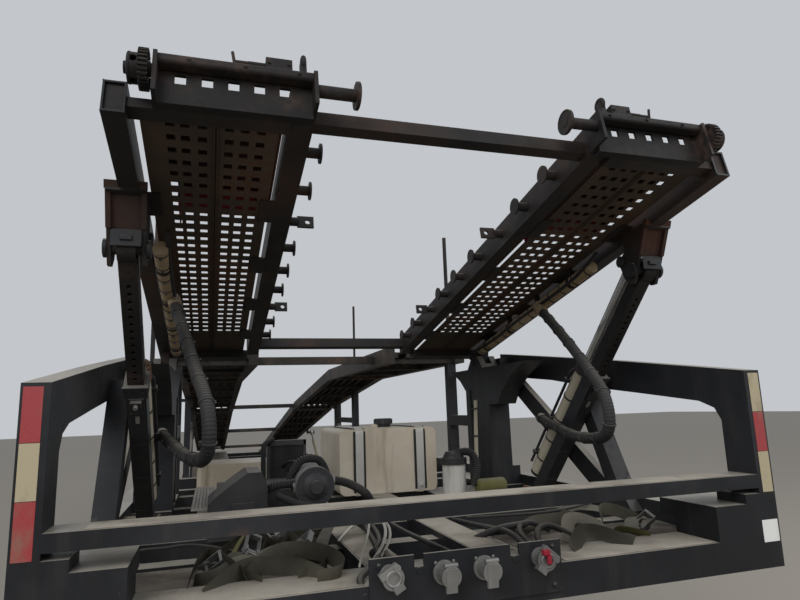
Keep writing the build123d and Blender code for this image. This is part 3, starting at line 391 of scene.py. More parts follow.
# Each look says what differs from the plain one, or from the look that it is like. "dusty" is the least
# and the most dust on what faces up, "streaks" and "specks" are amounts
plainLook = {
    "rust": (0.12, 0.06, 0.034), "rustRange": (0.5, 0.72), "dust": (0.22, 0.2, 0.17), "dusty": (0.2, 0.6),
    "roughness": 0.62, "patch": 2.2, "streakStretch": (1, 1, 0.12), "streaks": 0.35, "specks": 0.5,
    "metallic": 0.0, "shine": 0.24,
}
looks = {
    "frame_paint": dict(
        paint=(0.011, 0.0118, 0.0138), faded=(0.025, 0.026, 0.029), dirt=(0.06, 0.056, 0.05),
        rustRange=(0.62, 0.8), dust=(0.36, 0.33, 0.28), dusty=(0.55, 0.96), roughness=0.5),
    "deck_paint": dict(
        paint=(0.018, 0.0165, 0.016), faded=(0.05, 0.041, 0.033), dirt=(0.09, 0.07, 0.055),
        rust=(0.13, 0.066, 0.035), rustRange=(0.52, 0.74), dust=(0.24, 0.21, 0.17), dusty=(0.2, 0.7)),
    "rusty_paint": dict(
        paint=(0.035, 0.03, 0.028), faded=(0.09, 0.05, 0.034), dirt=(0.13, 0.1, 0.078),
        rust=(0.15, 0.062, 0.03), rustRange=(0.36, 0.6), dust=(0.25, 0.22, 0.18), roughness=0.72),
    "running_gear": dict(
        paint=(0.03, 0.029, 0.028), faded=(0.06, 0.055, 0.05), dirt=(0.16, 0.13, 0.1),
        dust=(0.25, 0.22, 0.18), dusty=(0.3, 0.8), roughness=0.7),
    "tank_paint": dict(
        paint=(0.57, 0.49, 0.38), faded=(0.68, 0.61, 0.5), dirt=(0.22, 0.175, 0.125), streaks=0.9,
        specks=0.25, rust=(0.2, 0.12, 0.07), rustRange=(0.7, 0.85), dust=(0.46, 0.42, 0.34),
        dusty=(0.2, 0.5), roughness=0.42),
    "engine_iron": dict(
        paint=(0.05, 0.05, 0.052), faded=(0.1, 0.1, 0.1), dirt=(0.12, 0.1, 0.08), rust=(0.12, 0.07, 0.045),
        rustRange=(0.55, 0.75), roughness=0.6, metallic=0.2),
    "dark_plastic": dict(
        paint=(0.022, 0.022, 0.024), faded=(0.05, 0.05, 0.052), dirt=(0.12, 0.11, 0.095),
        rust=(0.09, 0.08, 0.07), rustRange=(0.75, 0.9), roughness=0.5, specks=0.1),
    "air_spring": dict(
        paint=(0.018, 0.018, 0.018), faded=(0.035, 0.034, 0.033), dirt=(0.12, 0.1, 0.08),
        rust=(0.08, 0.07, 0.06), rustRange=(0.75, 0.9), dust=(0.2, 0.18, 0.15), dusty=(0.3, 0.7),
        roughness=0.8, specks=0.0),
    "black_rubber": dict(
        paint=(0.018, 0.018, 0.019), faded=(0.035, 0.034, 0.034), dirt=(0.09, 0.08, 0.068),
        rust=(0.07, 0.062, 0.052), rustRange=(0.75, 0.9), dust=(0.16, 0.145, 0.12), roughness=0.65,
        specks=0.0),
    "tyre_rubber": dict(
        paint=(0.02, 0.02, 0.02), faded=(0.038, 0.036, 0.034), dirt=(0.12, 0.1, 0.08),
        rust=(0.1, 0.085, 0.07), rustRange=(0.7, 0.9), dust=(0.17, 0.15, 0.12), dusty=(0.1, 0.3),
        roughness=0.82, specks=0.0),
    "cream_sheath": dict(
        paint=(0.36, 0.32, 0.24), faded=(0.46, 0.42, 0.33), dirt=(0.16, 0.125, 0.085),
        rust=(0.14, 0.09, 0.05), rustRange=(0.6, 0.8), dust=(0.34, 0.3, 0.23), dusty=(0.2, 0.5),
        roughness=0.6, streakStretch=(1, 0.15, 0.15), streaks=0.6, specks=0.4),
    "rim_steel": dict(
        paint=(0.5, 0.5, 0.49), faded=(0.58, 0.57, 0.55), dirt=(0.22, 0.18, 0.14), rust=(0.2, 0.11, 0.06),
        rustRange=(0.66, 0.82), dust=(0.34, 0.3, 0.25), dusty=(0.2, 0.5), roughness=0.45),
    "bright_steel": dict(
        paint=(0.34, 0.33, 0.31), faded=(0.42, 0.41, 0.39), dirt=(0.18, 0.15, 0.12),
        rust=(0.17, 0.085, 0.045), rustRange=(0.6, 0.8), dust=(0.3, 0.27, 0.22), dusty=(0.1, 0.4),
        roughness=0.42, metallic=0.75),
    "coupling_metal": dict(
        paint=(0.2, 0.2, 0.195), faded=(0.32, 0.315, 0.3), dirt=(0.08, 0.07, 0.06),
        rust=(0.18, 0.12, 0.08), rustRange=(0.65, 0.85), dust=(0.34, 0.31, 0.26), dusty=(0.1, 0.4),
        roughness=0.45, metallic=0.6),
    "strap_steel": dict(
        like="bright_steel", paint=(0.58, 0.56, 0.52), faded=(0.68, 0.66, 0.62), dirt=(0.24, 0.2, 0.16),
        metallic=0.3, shine=0.5),
    "rust_coat": dict(
        paint=(0.032, 0.02, 0.017), faded=(0.055, 0.028, 0.021), dirt=(0.03, 0.025, 0.022),
        rust=(0.085, 0.034, 0.02), rustRange=(0.42, 0.66), dust=(0.2, 0.16, 0.12), dusty=(0.1, 0.5),
        roughness=0.78),
    "floor_coat": dict(
        paint=(0.045, 0.034, 0.026), faded=(0.075, 0.056, 0.041), dirt=(0.036, 0.028, 0.023), streaks=0.5,
        rust=(0.082, 0.042, 0.028), rustRange=(0.45, 0.66), dust=(0.3, 0.26, 0.2), dusty=(0.3, 0.8),
        roughness=0.8),
    "winch_coat": dict(
        paint=(0.008, 0.0075, 0.0078), faded=(0.019, 0.0165, 0.0155), dirt=(0.03, 0.025, 0.022),
        rust=(0.085, 0.05, 0.038), dust=(0.2, 0.18, 0.15)),
    "rail_coat": dict(
        paint=(0.014, 0.013, 0.013), faded=(0.034, 0.026, 0.022), dirt=(0.036, 0.03, 0.026),
        rust=(0.05, 0.025, 0.018), rustRange=(0.5, 0.68), dust=(0.24, 0.21, 0.17), dusty=(0.3, 0.8)),
    "bundle_sheath": dict(
        like="cream_sheath", paint=(0.27, 0.2, 0.12), faded=(0.36, 0.285, 0.185), dirt=(0.1, 0.07, 0.045)),
    "filter_white": dict(like="tank_paint", paint=(0.56, 0.55, 0.5), faded=(0.62, 0.61, 0.57)),
    "red_coat": dict(
        like="rust_coat", paint=(0.3, 0.012, 0.03), faded=(0.38, 0.03, 0.05), rust=(0.1, 0.03, 0.025)),
    "webbing": dict(
        like="black_rubber", paint=(0.04, 0.037, 0.027), faded=(0.1, 0.094, 0.07), dirt=(0.09, 0.08, 0.06),
        dust=(0.26, 0.24, 0.2), dusty=(0.05, 0.4), roughness=0.9),
    "olive_webbing": dict(like="webbing", paint=(0.12, 0.115, 0.04), faded=(0.17, 0.165, 0.07)),
    "dry_dust": dict(
        like="frame_paint", paint=(0.16, 0.14, 0.115), faded=(0.38, 0.34, 0.28), dirt=(0.08, 0.067, 0.055),
        rust=(0.09, 0.07, 0.055), rustRange=(0.55, 0.75), dust=(0.44, 0.4, 0.335), dusty=(0.05, 0.7),
        roughness=0.95, patch=3.5, streaks=0.8),
    "dry_dirt": dict(
        like="dry_dust", paint=(0.05, 0.042, 0.035), faded=(0.17, 0.145, 0.118), dust=(0.24, 0.21, 0.175),
        dusty=(0.0, 0.55), patch=4.5),
    "pale_hose": dict(like="dark_plastic", paint=(0.42, 0.4, 0.35), faded=(0.5, 0.48, 0.42)),
    "blank_label": dict(
        like="tank_paint", paint=(0.72, 0.72, 0.7), faded=(0.78, 0.78, 0.76), dirt=(0.5, 0.48, 0.44),
        rust=(0.5, 0.45, 0.4)),
    "lamp_red": dict(
        like="dark_plastic", paint=(0.32, 0.012, 0.012), faded=(0.38, 0.03, 0.025), roughness=0.25),
    "lamp_amber": dict(
        like="dark_plastic", paint=(0.5, 0.16, 0.015), faded=(0.55, 0.2, 0.03), roughness=0.25),
}


def fullLook(look):
    base = fullLook(looks[look["like"]]) if "like" in look else plainLook
    return dict(base, **look)


for name, look in looks.items():
    finishes[name] = wornPaint(name, fullLook(look))
print("materials made", len(finishes))


# Every CAD node gets the finish of its slot, apart from a few that are weathered in their own way
nodeFinish = {
    "front_deck_floor": "floor_coat", "front_winches": "winch_coat", "deck_bundles": "bundle_sheath",
    "front_deck_rails": "rail_coat", "lift_slider_left": "winch_coat", "lift_slider_right": "winch_coat",
    "oil_filter": "filter_white", "guide_rods": "rail_coat",
}


def finishNodes():
    slots = {entry["node"]: entry["material_slot"] for entry in frame["record"]["subparts"]}
    for name, node in frame["nodes"].items():
        for slotPlace in node.material_slots:
            slotPlace.link = "OBJECT"
            slotPlace.material = finishes[nodeFinish.get(name, slots[name])]


finishNodes()
print("nodes finished")


# Free hose loops: the route's points are those of the CAD tube, cut in two at the lowest run
# so that one half follows the deck and the other the lift arm
hoseLook = {
    "thick": 0.05, "rib": 0.0016, "ribPitch": 0.013, "tieEvery": 0.15, "tieWide": 0.007,
    "upper": ((0.965, 1.04, 2.325), (0.91, 0.765, 2.155), (0.858, 0.525, 1.99), (0.803, 0.312, 1.85),
              (0.8, 0.305, 1.682), (0.85, 0.54, 1.658), (0.8825, 0.68, 1.665)),
    "lower": ((0.8825, 0.68, 1.665), (0.915, 0.82, 1.672), (1.01, 1.2, 1.735)),
    "upperBend": ((0, 0.6, 2.3), (0, 0.6, 1.7)), "lowerBend": ((0, 0.7, 1.7), (0, 1.18, 1.7)),
}


def makeHose(part, label, side):
    radius, half = hoseLook["thick"] / 2, hoseLook["tieWide"] / 2
    line = splinePoints([at(side * x, y, z) for x, y, z in hoseLook[part]], 22)
    long = lineLength(line)
    bm = bmesh.new()
    fine = ribbedIn(bm, line, radius, hoseLook["rib"], hoseLook["ribPitch"], 20, 4)
    hose = finishPiece(f"hose_{label}_{part}", bm, None, "black_rubber")
    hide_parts(f"hose_{label}")
    bm = bmesh.new()
    spot = hoseLook["tieEvery"] * 0.6
    while spot < long - 0.03:
        share = int(spot / long * (len(fine) - 1))
        here, near = fine[share], fine[min(share + 1, len(fine) - 1)]
        along = (near - here).normalized()
        sleeveIn(bm, here - along * half, here + along * half, radius + 0.0032, radius - 0.001, 22)
        place = alongMatrix(here - along, here + along)
        boxIn(bm, (radius, -0.006, -0.007), (radius + 0.008, 0.006, 0.007), place)
        spot += hoseLook["tieEvery"]
    ties = finishPiece(f"hose_{label}_{part}_ties", bm, None, "dark_plastic")
    for piece in (hose, ties):
        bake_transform(piece)


for label, side in sides:
    makeHose("upper", label, side)
    makeHose("lower", label, side)
print("hoses hung")


# Reflective tape on the nose posts: three blocks a side, red and off-white by turns
tape = {
    "top": 1.92, "tall": 0.1525, "wide": 0.05, "thick": 0.0012, "middle": 1.263, "gap": 0.0008,
    "tape_red": (0.3, 0.008, 0.016), "tape_pale": (0.4, 0.34, 0.215),
}


def tapeFinish(name):
    material, tree, shader = newMaterial(name)
    cells = tree.nodes.new("ShaderNodeTexVoronoi")
    cells.inputs["Scale"].default_value = 320
    coordinates = tree.nodes.new("ShaderNodeTexCoord")
    tree.links.new(coordinates.outputs["Object"], cells.inputs["Vector"])
    beads = cells.outputs["Distance"]
    dirt = rangeNode(tree, noiseNode(tree, 14, 5, 0.65, (1, 1, 0.5)), 0.5, 0.75, 0, 0.55)
    chips = rangeNode(tree, noiseNode(tree, 95, 3, 0.6), 0.67, 0.72, 0, 0.85)
    shade = mixNode(tree, rangeNode(tree, beads, 0.1, 0.5, 0, 0.05), tape[name], (0.8, 0.7, 0.6))
    shade = mixNode(tree, dirt, shade, (0.2, 0.15, 0.1))
    shade = mixNode(tree, chips, shade, (0.06, 0.045, 0.035))
    tree.links.new(shade, shader.inputs["Base Color"])
    tree.links.new(bumpNode(tree, beads, 0.12, 0.0004), shader.inputs["Normal"])
    shader.inputs["Roughness"].default_value = 0.42
    return material


def makeTapes():
    half, gap = tape["wide"] / 2, tape["gap"]
    for label, side in sides:
        middle = side * tape["middle"]
        for count in range(3):
            kind = "tape_red" if (count % 2 == 0) == (side < 0) else "tape_pale"
            top = tape["top"] - count * tape["tall"]
            bm = bmesh.new()
            low = at(middle - half, -tape["thick"], top - tape["tall"] + gap)
            boxIn(bm, low, at(middle + half, 0, top - gap))
            finishPiece(f"tape_{label}_{count + 1}", bm, "frame", kind, 0.0004)


for name in ("tape_red", "tape_pale"):
    finishes[name] = tapeFinish(name)
makeTapes()


# Lift arms: sheathed ram barrels with black ties, bright rods, bolted glands, thin pipes and pin heads
armLook = {
    "base": (1.475, 1.262), "eye": (0.346, 2.41), "x": 1.09, "half": 0.038, "deep": 0.04, "back": 0.091,
    "barrel": 0.041, "sleeve": 0.0424, "sleeveFrom": 0.152, "sleeveTo": 0.92, "rod": 0.0246, "rodTo": 1.588,
    "end": 0.985, "collar": 1.0, "ties": (0.26, 0.42, 0.58, 0.74), "pipe": (0.2, 0.9),
    "bands": (0.22, 0.45, 0.66),
}
armTurn = math.atan2(armLook["eye"][1] - armLook["base"][1], armLook["base"][0] - armLook["eye"][0])
armPlace = turnedAt(at(0, *armLook["base"]), math.pi / 2 - armTurn, "X")


def chromeFinish():
    material, tree, shader = newMaterial("chrome")
    marks = rangeNode(tree, noiseNode(tree, 9, 3, 0.5), 0.55, 0.8, 0, 0.35)
    tree.links.new(mixNode(tree, marks, (0.66, 0.66, 0.66), (0.34, 0.31, 0.27)), shader.inputs["Base Color"])
    shader.inputs["Metallic"].default_value = 0.85
    shader.inputs["Roughness"].default_value = 0.24
    return material


# Local X runs across, local Y from the arm back to the ram, and local Z up along both
def ramDressing(side, label):
    x, y, sleeve, end = side * armLook["x"], armLook["back"], armLook["sleeve"], armLook["end"]
    tube = f"lift_tube_{label}"

    def ramSleeve(low, high, outer, inner, segments=36):
        sleeveIn(bm, (x, y, low), (x, y, high), outer, inner, segments, armPlace)

    bm = bmesh.new()
    ramSleeve(armLook["sleeveFrom"], armLook["sleeveTo"], sleeve, armLook["barrel"] - 0.001, 40)
    finishPiece(f"ram_sleeve_{label}", bm, tube, "cream_sheath", 0.0008)
    bm = bmesh.new()
    for reach in armLook["ties"]:
        ramSleeve(reach, reach + 0.01, sleeve + 0.003, sleeve - 0.001)
        low, high = (x - 0.007, y + sleeve, reach - 0.002), (x + 0.007, y + sleeve + 0.01, reach + 0.012)
        boxIn(bm, low, high, armPlace)
    finishPiece(f"ram_ties_{label}", bm, tube, "dark_plastic", 0.0008)
    bm = bmesh.new()
    ramSleeve(end - 0.061, end + 0.0155, armLook["barrel"] + 0.0062, 0.0245)
    for turn in range(6):
        spin = turnedAt((x, y, end), turn * math.pi / 3, "Z")
        boltIn(bm, (0.035, 0, 0.0155), (0, 0, 1), 0.006, armPlace @ spin)
    finishPiece(f"ram_gland_{label}", bm, tube, "rusty_paint", 0.0012)
    bm = bmesh.new()
    ramSleeve(end - 0.25, armLook["rodTo"], armLook["rod"], 0.0225)
    finishPiece(f"ram_rod_{label}", bm, f"lift_slider_{label}", "chrome")


def armFittings(side, label):
    x, half, front, back = side * armLook["x"], armLook["half"], -armLook["deep"], armLook["back"]
    tube, collar = f"lift_tube_{label}", armLook["collar"]
    bm = bmesh.new()
    pipeX, pipeY = x - side * 0.05, back + 0.03
    start, end = armLook["pipe"]
    rodIn(bm, (pipeX, pipeY, start), (pipeX, pipeY, end), 0.008, 12, place=armPlace)
    rodIn(bm, (pipeX, pipeY, end), (x - side * 0.034, back + 0.01, end + 0.045), 0.008, 12, place=armPlace)
    for spot in (0.1, 0.5, 0.9):
        reach = start + (end - start) * spot
        low, high = sorted((pipeX - side * 0.014, x - side * 0.02))
        boxIn(bm, (low, pipeY - 0.012, reach), (high, pipeY + 0.012, reach + 0.022), armPlace)
        boltIn(bm, (pipeX, pipeY + 0.012, reach + 0.011), (0, 1, 0), 0.006, armPlace)
    finishPiece(f"ram_pipe_{label}", bm, tube, "frame_paint", 0.0008)
    bm = bmesh.new()
    for wide, out, rear, low, high in (  # the collar's lip, the lock's housing and its foot
        (half + 0.012, 0.014, 0.004, 0.014, -0.002), (0.022, 0.03, 0.001, 0.098, 0.066),
        (0.03, 0.012, 0.001, 0.15, 0.06),
    ):
        boxIn(bm, (x - wide, front - out, collar - low), (x + wide, front - rear, collar - high), armPlace)
    for spot in (-1, 1):
        boltIn(bm, (x + spot * 0.026, front - 0.008, collar - 0.03), (0, -1, 0), 0.007, armPlace)
        boltIn(bm, (x + spot * 0.022, front - 0.012, collar - 0.14), (0, -1, 0), 0.006, armPlace)
    wide = half + 0.0015
    for reach in armLook["bands"]:
        boxIn(bm, (x - wide, front - 0.0015, reach), (x + wide, front + 0.006, reach + 0.004), armPlace)
    finishPiece(f"arm_lock_{label}", bm, tube, "frame_paint", 0.0015)
    bm = bmesh.new()
    low, high = (x - 0.008, front - 0.005, collar - 0.205), (x + 0.008, front + 0.001, collar - 0.165)
    boxIn(bm, low, high, armPlace)
    pin = collar - 0.082
    rodIn(bm, (x, front - 0.012, pin), (x, front - 0.044, pin), 0.009, 14, place=armPlace)
    finishPiece(f"arm_lock_pin_{label}", bm, tube, "coupling_metal", 0.001)
    bm = bmesh.new()
    for spot, out in ((x - side * 0.078, -side), (x + side * 0.1165, side)):
        rodIn(bm, (spot, 0, 0), (spot + out * 0.006, 0, 0), 0.033, 24, place=armPlace)
    finishPiece(f"arm_pin_caps_{label}", bm, "frame", "rusty_paint", 0.0012)


finishes["chrome"] = chromeFinish()
for label, side in sides:
    ramDressing(side, label)
    armFittings(side, label)
print("arms dressed")


# Clevises under the outer beams: rusty covers between the cheeks, and end caps on the beams
deckLook = {
    "reach": 2.314, "tail": 0.16, "beamLow": 0.067, "beamHigh": 0.177, "beamIn": 1.048, "beamOut": 1.113,
    "lip": 0.007, "lipOut": 0.009, "floor": 0.123, "seams": (0.796, 0.806),
}
clevisLook = {
    "in": (1.026, 1.04), "out": (1.14, 1.154), "top": (0.2345, 2.604), "bend": (0.292, 2.468),
    "lipTop": (0.228, 2.618), "lipLow": (0.238, 2.59),
}


def makeClevises(label, side):
    inner, outer = clevisLook["in"], clevisLook["out"]
    (topY, topZ), (bendY, bendZ) = clevisLook["top"], clevisLook["bend"]
    between = acrossSides(side, inner[1], outer[0])
    bm = bmesh.new()
    barIn(bm, (topY + 0.012, topZ), (bendY + 0.012, bendZ), between, 0.007)
    whole = acrossSides(side, inner[0] - 0.004, outer[1] + 0.004)
    barIn(bm, clevisLook["lipTop"], clevisLook["lipLow"], whole, 0.022)
    for edge in (inner, outer):
        barIn(bm, (topY, topZ), (bendY, bendZ), acrossSides(side, edge[0] - 0.002, edge[1] + 0.002), 0.012)
    finishPiece(f"clevis_cover_{label}", bm, "front_deck", "rust_coat", 0.0015)
    bm = bmesh.new()
    barIn(bm, (0.293, 2.466), (0.2895, 2.405), between, 0.004)
    barIn(bm, (0.2865, 2.444), (0.2855, 2.426), (between[0] + 0.03, between[1] - 0.03), 0.008)
    for edge, out in ((inner[0], -side), (outer[1], side)):
        eye = at(side * edge, *armLook["eye"])
        ram = armPlace @ Vector((side * edge, armLook["back"], 1.6))
        for start, long, radius in ((eye, 0.014, 0.034), (ram, 0.01, 0.027)):
            rodIn(bm, start, start + Vector((out * long, 0, 0)), radius, 28)
    finishPiece(f"clevis_pins_{label}", bm, "front_deck", "frame_paint", 0.002)


def makeBeamEnds(label, side):
    bm = bmesh.new()
    left, right = acrossSides(side, deckLook["beamIn"], deckLook["beamOut"])
    low, high, lip, front = deckLook["beamLow"], deckLook["beamHigh"], deckLook["lip"], -deckLook["reach"]
    for start, end in (
        ((left, low), (left + lip, high)), ((right - lip, low), (right, high)),
        ((left, low), (right, low + lip)), ((left, high - lip), (right, high)),
    ):
        boxIn(bm, (start[0], front - deckLook["lipOut"], start[1]), (end[0], front, end[1]), frontDeckPlace)
    finishPiece(f"beam_end_{label}", bm, "front_deck", "frame_paint", 0.0012)


# The folded edges of the two planks of the floor meet in a shallow seam
def makePlankSeams(label, side):
    bm = bmesh.new()
    start, end, floor = -deckLook["reach"] + 0.075, deckLook["tail"] - 0.03, deckLook["floor"]
    for x in deckLook["seams"]:
        low, high = acrossSides(side, x - 0.002, x + 0.002)
        boxIn(bm, (low, start, floor - 0.009), (high, end, floor + 0.001), frontDeckPlace)
    finishPiece(f"plank_seam_{label}", bm, "front_deck", "floor_coat", 0.0006)


for label, side in sides:
    makeClevises(label, side)
    makeBeamEnds(label, side)
for label, side in sides:
    makePlankSeams(label, side)
print("front deck dressed")


# Oil tank: two bright straps over black rubber, and a ribbed filler cap
tankLook = {
    "low": (-0.03, 1.9, 1.3), "high": (0.61, 2.56, 1.7), "round": 0.033, "straps": (0.097, 0.498),
    "strapWide": 0.05, "rubberWide": 0.078, "strapThick": 0.004, "rubberThick": 0.006, "cap": (0.339, 2.2),
}


def runsAcross(edge):
    return abs((edge.verts[0].co - edge.verts[1].co).normalized().x) > 0.9


def bandIn(bm, x, wide, offset, thick):
    before = set(bm.verts)
    low, high = Vector(tankLook["low"]), Vector(tankLook["high"])
    spread = Vector((wide / 2, offset, offset))
    boxIn(bm, at(x, low.y, low.z) - spread, at(x, high.y, high.z) + spread)
    verts = addedSince(bm, before)
    ends = [face for face in facesOf(verts) if abs(face.normal.x) > 0.9]
    bmesh.ops.delete(bm, geom=ends, context="FACES_ONLY")
    corners = [edge for edge in edgesOf(verts) if runsAcross(edge)]
    bmesh.ops.bevel(bm, geom=corners, offset=tankLook["round"] + offset, segments=7, profile=0.5,
                    affect="EDGES", material=-1)
    faces = facesOf(addedSince(bm, before))
    bmesh.ops.solidify(bm, geom=faces, thickness=thick)


def makeTank():
    rubber, strap = tankLook["rubberThick"], tankLook["strapThick"]
    front, bottom = tankLook["low"][1], tankLook["low"][2]
    bm = bmesh.new()
    for x in tankLook["straps"]:
        bandIn(bm, x, tankLook["rubberWide"], rubber, rubber)
    finishPiece("tank_rubbers", bm, "frame", "black_rubber", 0.0006)
    bm = bmesh.new()
    for x in tankLook["straps"]:
        bandIn(bm, x, tankLook["strapWide"], rubber + strap, strap)
        boxIn(bm, at(x - 0.014, front - 0.02, bottom + 0.03), at(x + 0.014, front - 0.006, bottom + 0.055))
        boltIn(bm, at(x, front - 0.02, bottom + 0.042), (0, -1, 0), 0.009)
    finishPiece("tank_straps", bm, "frame", "strap_steel", 0.0006)
    bm = bmesh.new()
    cap, top = tankLook["cap"], tankLook["high"][2]
    rodIn(bm, at(*cap, top - 0.005), at(*cap, top + 0.022), 0.05, 32)
    rodIn(bm, at(*cap, top + 0.02), at(*cap, top + 0.058), 0.062, 32, 0.058)
    grip = Vector((0.006, 0.006, 0.016))
    for x, y in circlePoints(12, 0.06):
        spot = at(cap[0] + x, cap[1] + y, top + 0.038)
        boxIn(bm, spot - grip, spot + grip)
    finishPiece("tank_cap", bm, "frame", "dark_plastic", 0.0015)


makeTank()
print("tank strapped")


# Winches: toothed ratchets, a loose handle pin, and what lies over the first rows of holes.
# A shield is its places across, its places along the deck and its level
winchLook = {
    "y": -2.37, "z": 0.187, "ratchet": (0.992, 1.008), "toothAt": 0.055, "teeth": 28, "head": 1.042,
    "hub": 0.371, "pinX": 0.712, "plate": ((0.6, 0.925), (-2.3, -1.74), 0.187),
    "red": ((0.61, 0.93), (-1.79, -1.595), 0.176), "edge": ((0.925, 0.972), (-2.3, -1.81), 0.18),
}


def makeWinchDetails(label, side):
    y, z, toothAt, head, hub = (winchLook[key] for key in ("y", "z", "toothAt", "head", "hub"))

    def onDeck(shape, start, end, *sizes):
        shape(bm, (side * start[0], *start[1:]), (side * end[0], *end[1:]), *sizes, place=frontDeckPlace)

    bm = bmesh.new()
    low, high = acrossSides(side, *winchLook["ratchet"])
    tooth = (low - 0.005, toothAt - 0.006, -0.0032), (high + 0.005, toothAt + 0.005, 0.0032)
    for turn in range(winchLook["teeth"]):
        spin = turnedAt((0, y, z), 2 * math.pi * turn / winchLook["teeth"], "X")
        boxIn(bm, *tooth, frontDeckPlace @ spin)
    ringIn(bm, (side * (head - 0.004), y, z), (1, 0, 0), 0.04, 0.006, 32, frontDeckPlace)
    onDeck(rodIn, (head, y, z), (head + 0.012, y, z), 0.018)
    onDeck(rodIn, (hub, y, z), (hub + 0.006, y, z), 0.018)
    ringIn(bm, (side * (hub + 0.004), y, z), (1, 0, 0), 0.041, 0.004, 32, frontDeckPlace)
    for spot, out in ((0.51, -1), (0.972, 1)):
        for step in (-0.024, 0.0, 0.024):
            onDeck(boltIn, (spot, y + step, z + 0.045), (out, 0, 0), 0.006)
    for x in (0.56, 0.72, 0.88):
        onDeck(boltIn, (x, y - 0.02, z + 0.04), (0, -1, 0), 0.007)
    finishPiece(f"winch_ratchet_{label}", bm, "front_deck", "winch_coat", 0.0012)
    bm = bmesh.new()
    pinX, up = winchLook["pinX"], z + 0.074
    onDeck(rodIn, (pinX - 0.01, y + 0.002, up), (pinX + 0.045, y + 0.002, up), 0.007, 12)
    onDeck(rodIn, (pinX + 0.04, y, up - 0.008), (pinX + 0.046, y - 0.004, up + 0.032), 0.005, 10)
    ringIn(bm, (side * 0.545, y + 0.002, z + 0.1), (1, 0, 0), 0.02, 0.008, 24, frontDeckPlace)
    for x in (0.59, 0.65):
        onDeck(boltIn, (x, y - 0.014, up), (0, -1, 0), 0.006)
    finishPiece(f"winch_latch_{label}", bm, "front_deck", "winch_coat", 0.0008)
    for name in ("plate", "red", "edge") if label == "left" else ("plate", "red"):
        bm = bmesh.new()
        across, (start, end), level = winchLook[name]
        low, high = acrossSides(side, *across)
        boxIn(bm, (low, start, level), (high, end, level + 0.006), frontDeckPlace)
        for edge in across:
            low, high = acrossSides(side, edge - 0.003, edge + 0.003)
            boxIn(bm, (low, start, deckLook["floor"] + 0.004), (high, end, level + 0.006), frontDeckPlace)
        finish = "red_coat" if name == "red" else "rust_coat"
        finishPiece(f"deck_shield_{name}_{label}", bm, "front_deck", finish, 0.001)


# Deck edges: ties and clips on the sheathed bundles, and a thin line beside them
bundleLook = {
    "x": 1.006, "z": 0.0447, "radius": 0.03, "from": -1.5, "to": -0.18, "every": 0.12,
    "line": ((-1.62, 0.075), (-1.5, 0.04), (-1.2, 0.03), (-0.8, 0.045), (-0.4, 0.03), (-0.1, 0.05)),
}


def makeBundleTies(label, side):
    bm, clips = bmesh.new(), bmesh.new()
    x, z, radius, every = side * bundleLook["x"], bundleLook["z"], bundleLook["radius"], bundleLook["every"]
    for step in range(int((bundleLook["to"] - bundleLook["from"]) / every) + 1):
        y = bundleLook["from"] + step * every
        sleeveIn(bm, (x, y, z), (x, y + 0.007, z), radius + 0.003, radius - 0.001, 28, frontDeckPlace)
        low, high = (x - 0.005, y - 0.001, z - radius - 0.01), (x + 0.005, y + 0.008, z - radius + 0.001)
        boxIn(bm, low, high, frontDeckPlace)
        if step % 3 == 1:
            start, end = y + 0.03, y + 0.055
            sleeveIn(clips, (x, start, z), (x, end, z), radius + 0.0035, radius - 0.001, 28, frontDeckPlace)
            boxIn(clips, (x - 0.012, start, z + radius), (x + 0.012, end, 0.118), frontDeckPlace)
    finishPiece(f"bundle_ties_{label}", bm, "front_deck", "dark_plastic", 0.0006)
    finishPiece(f"bundle_clips_{label}", clips, "front_deck", "winch_coat", 0.0006)
    bm = bmesh.new()
    line = [frontDeckPlace @ Vector((side * (bundleLook["x"] - 0.03), y, z)) for y, z in bundleLook["line"]]
    tubeIn(bm, splinePoints(line, 12), 0.009, 12)
    finishPiece(f"bundle_line_{label}", bm, "front_deck", "black_rubber")


for makeDeckPiece in (makeWinchDetails, makeBundleTies):
    for label, side in sides:
        makeDeckPiece(label, side)
print("winches and bundles dressed")


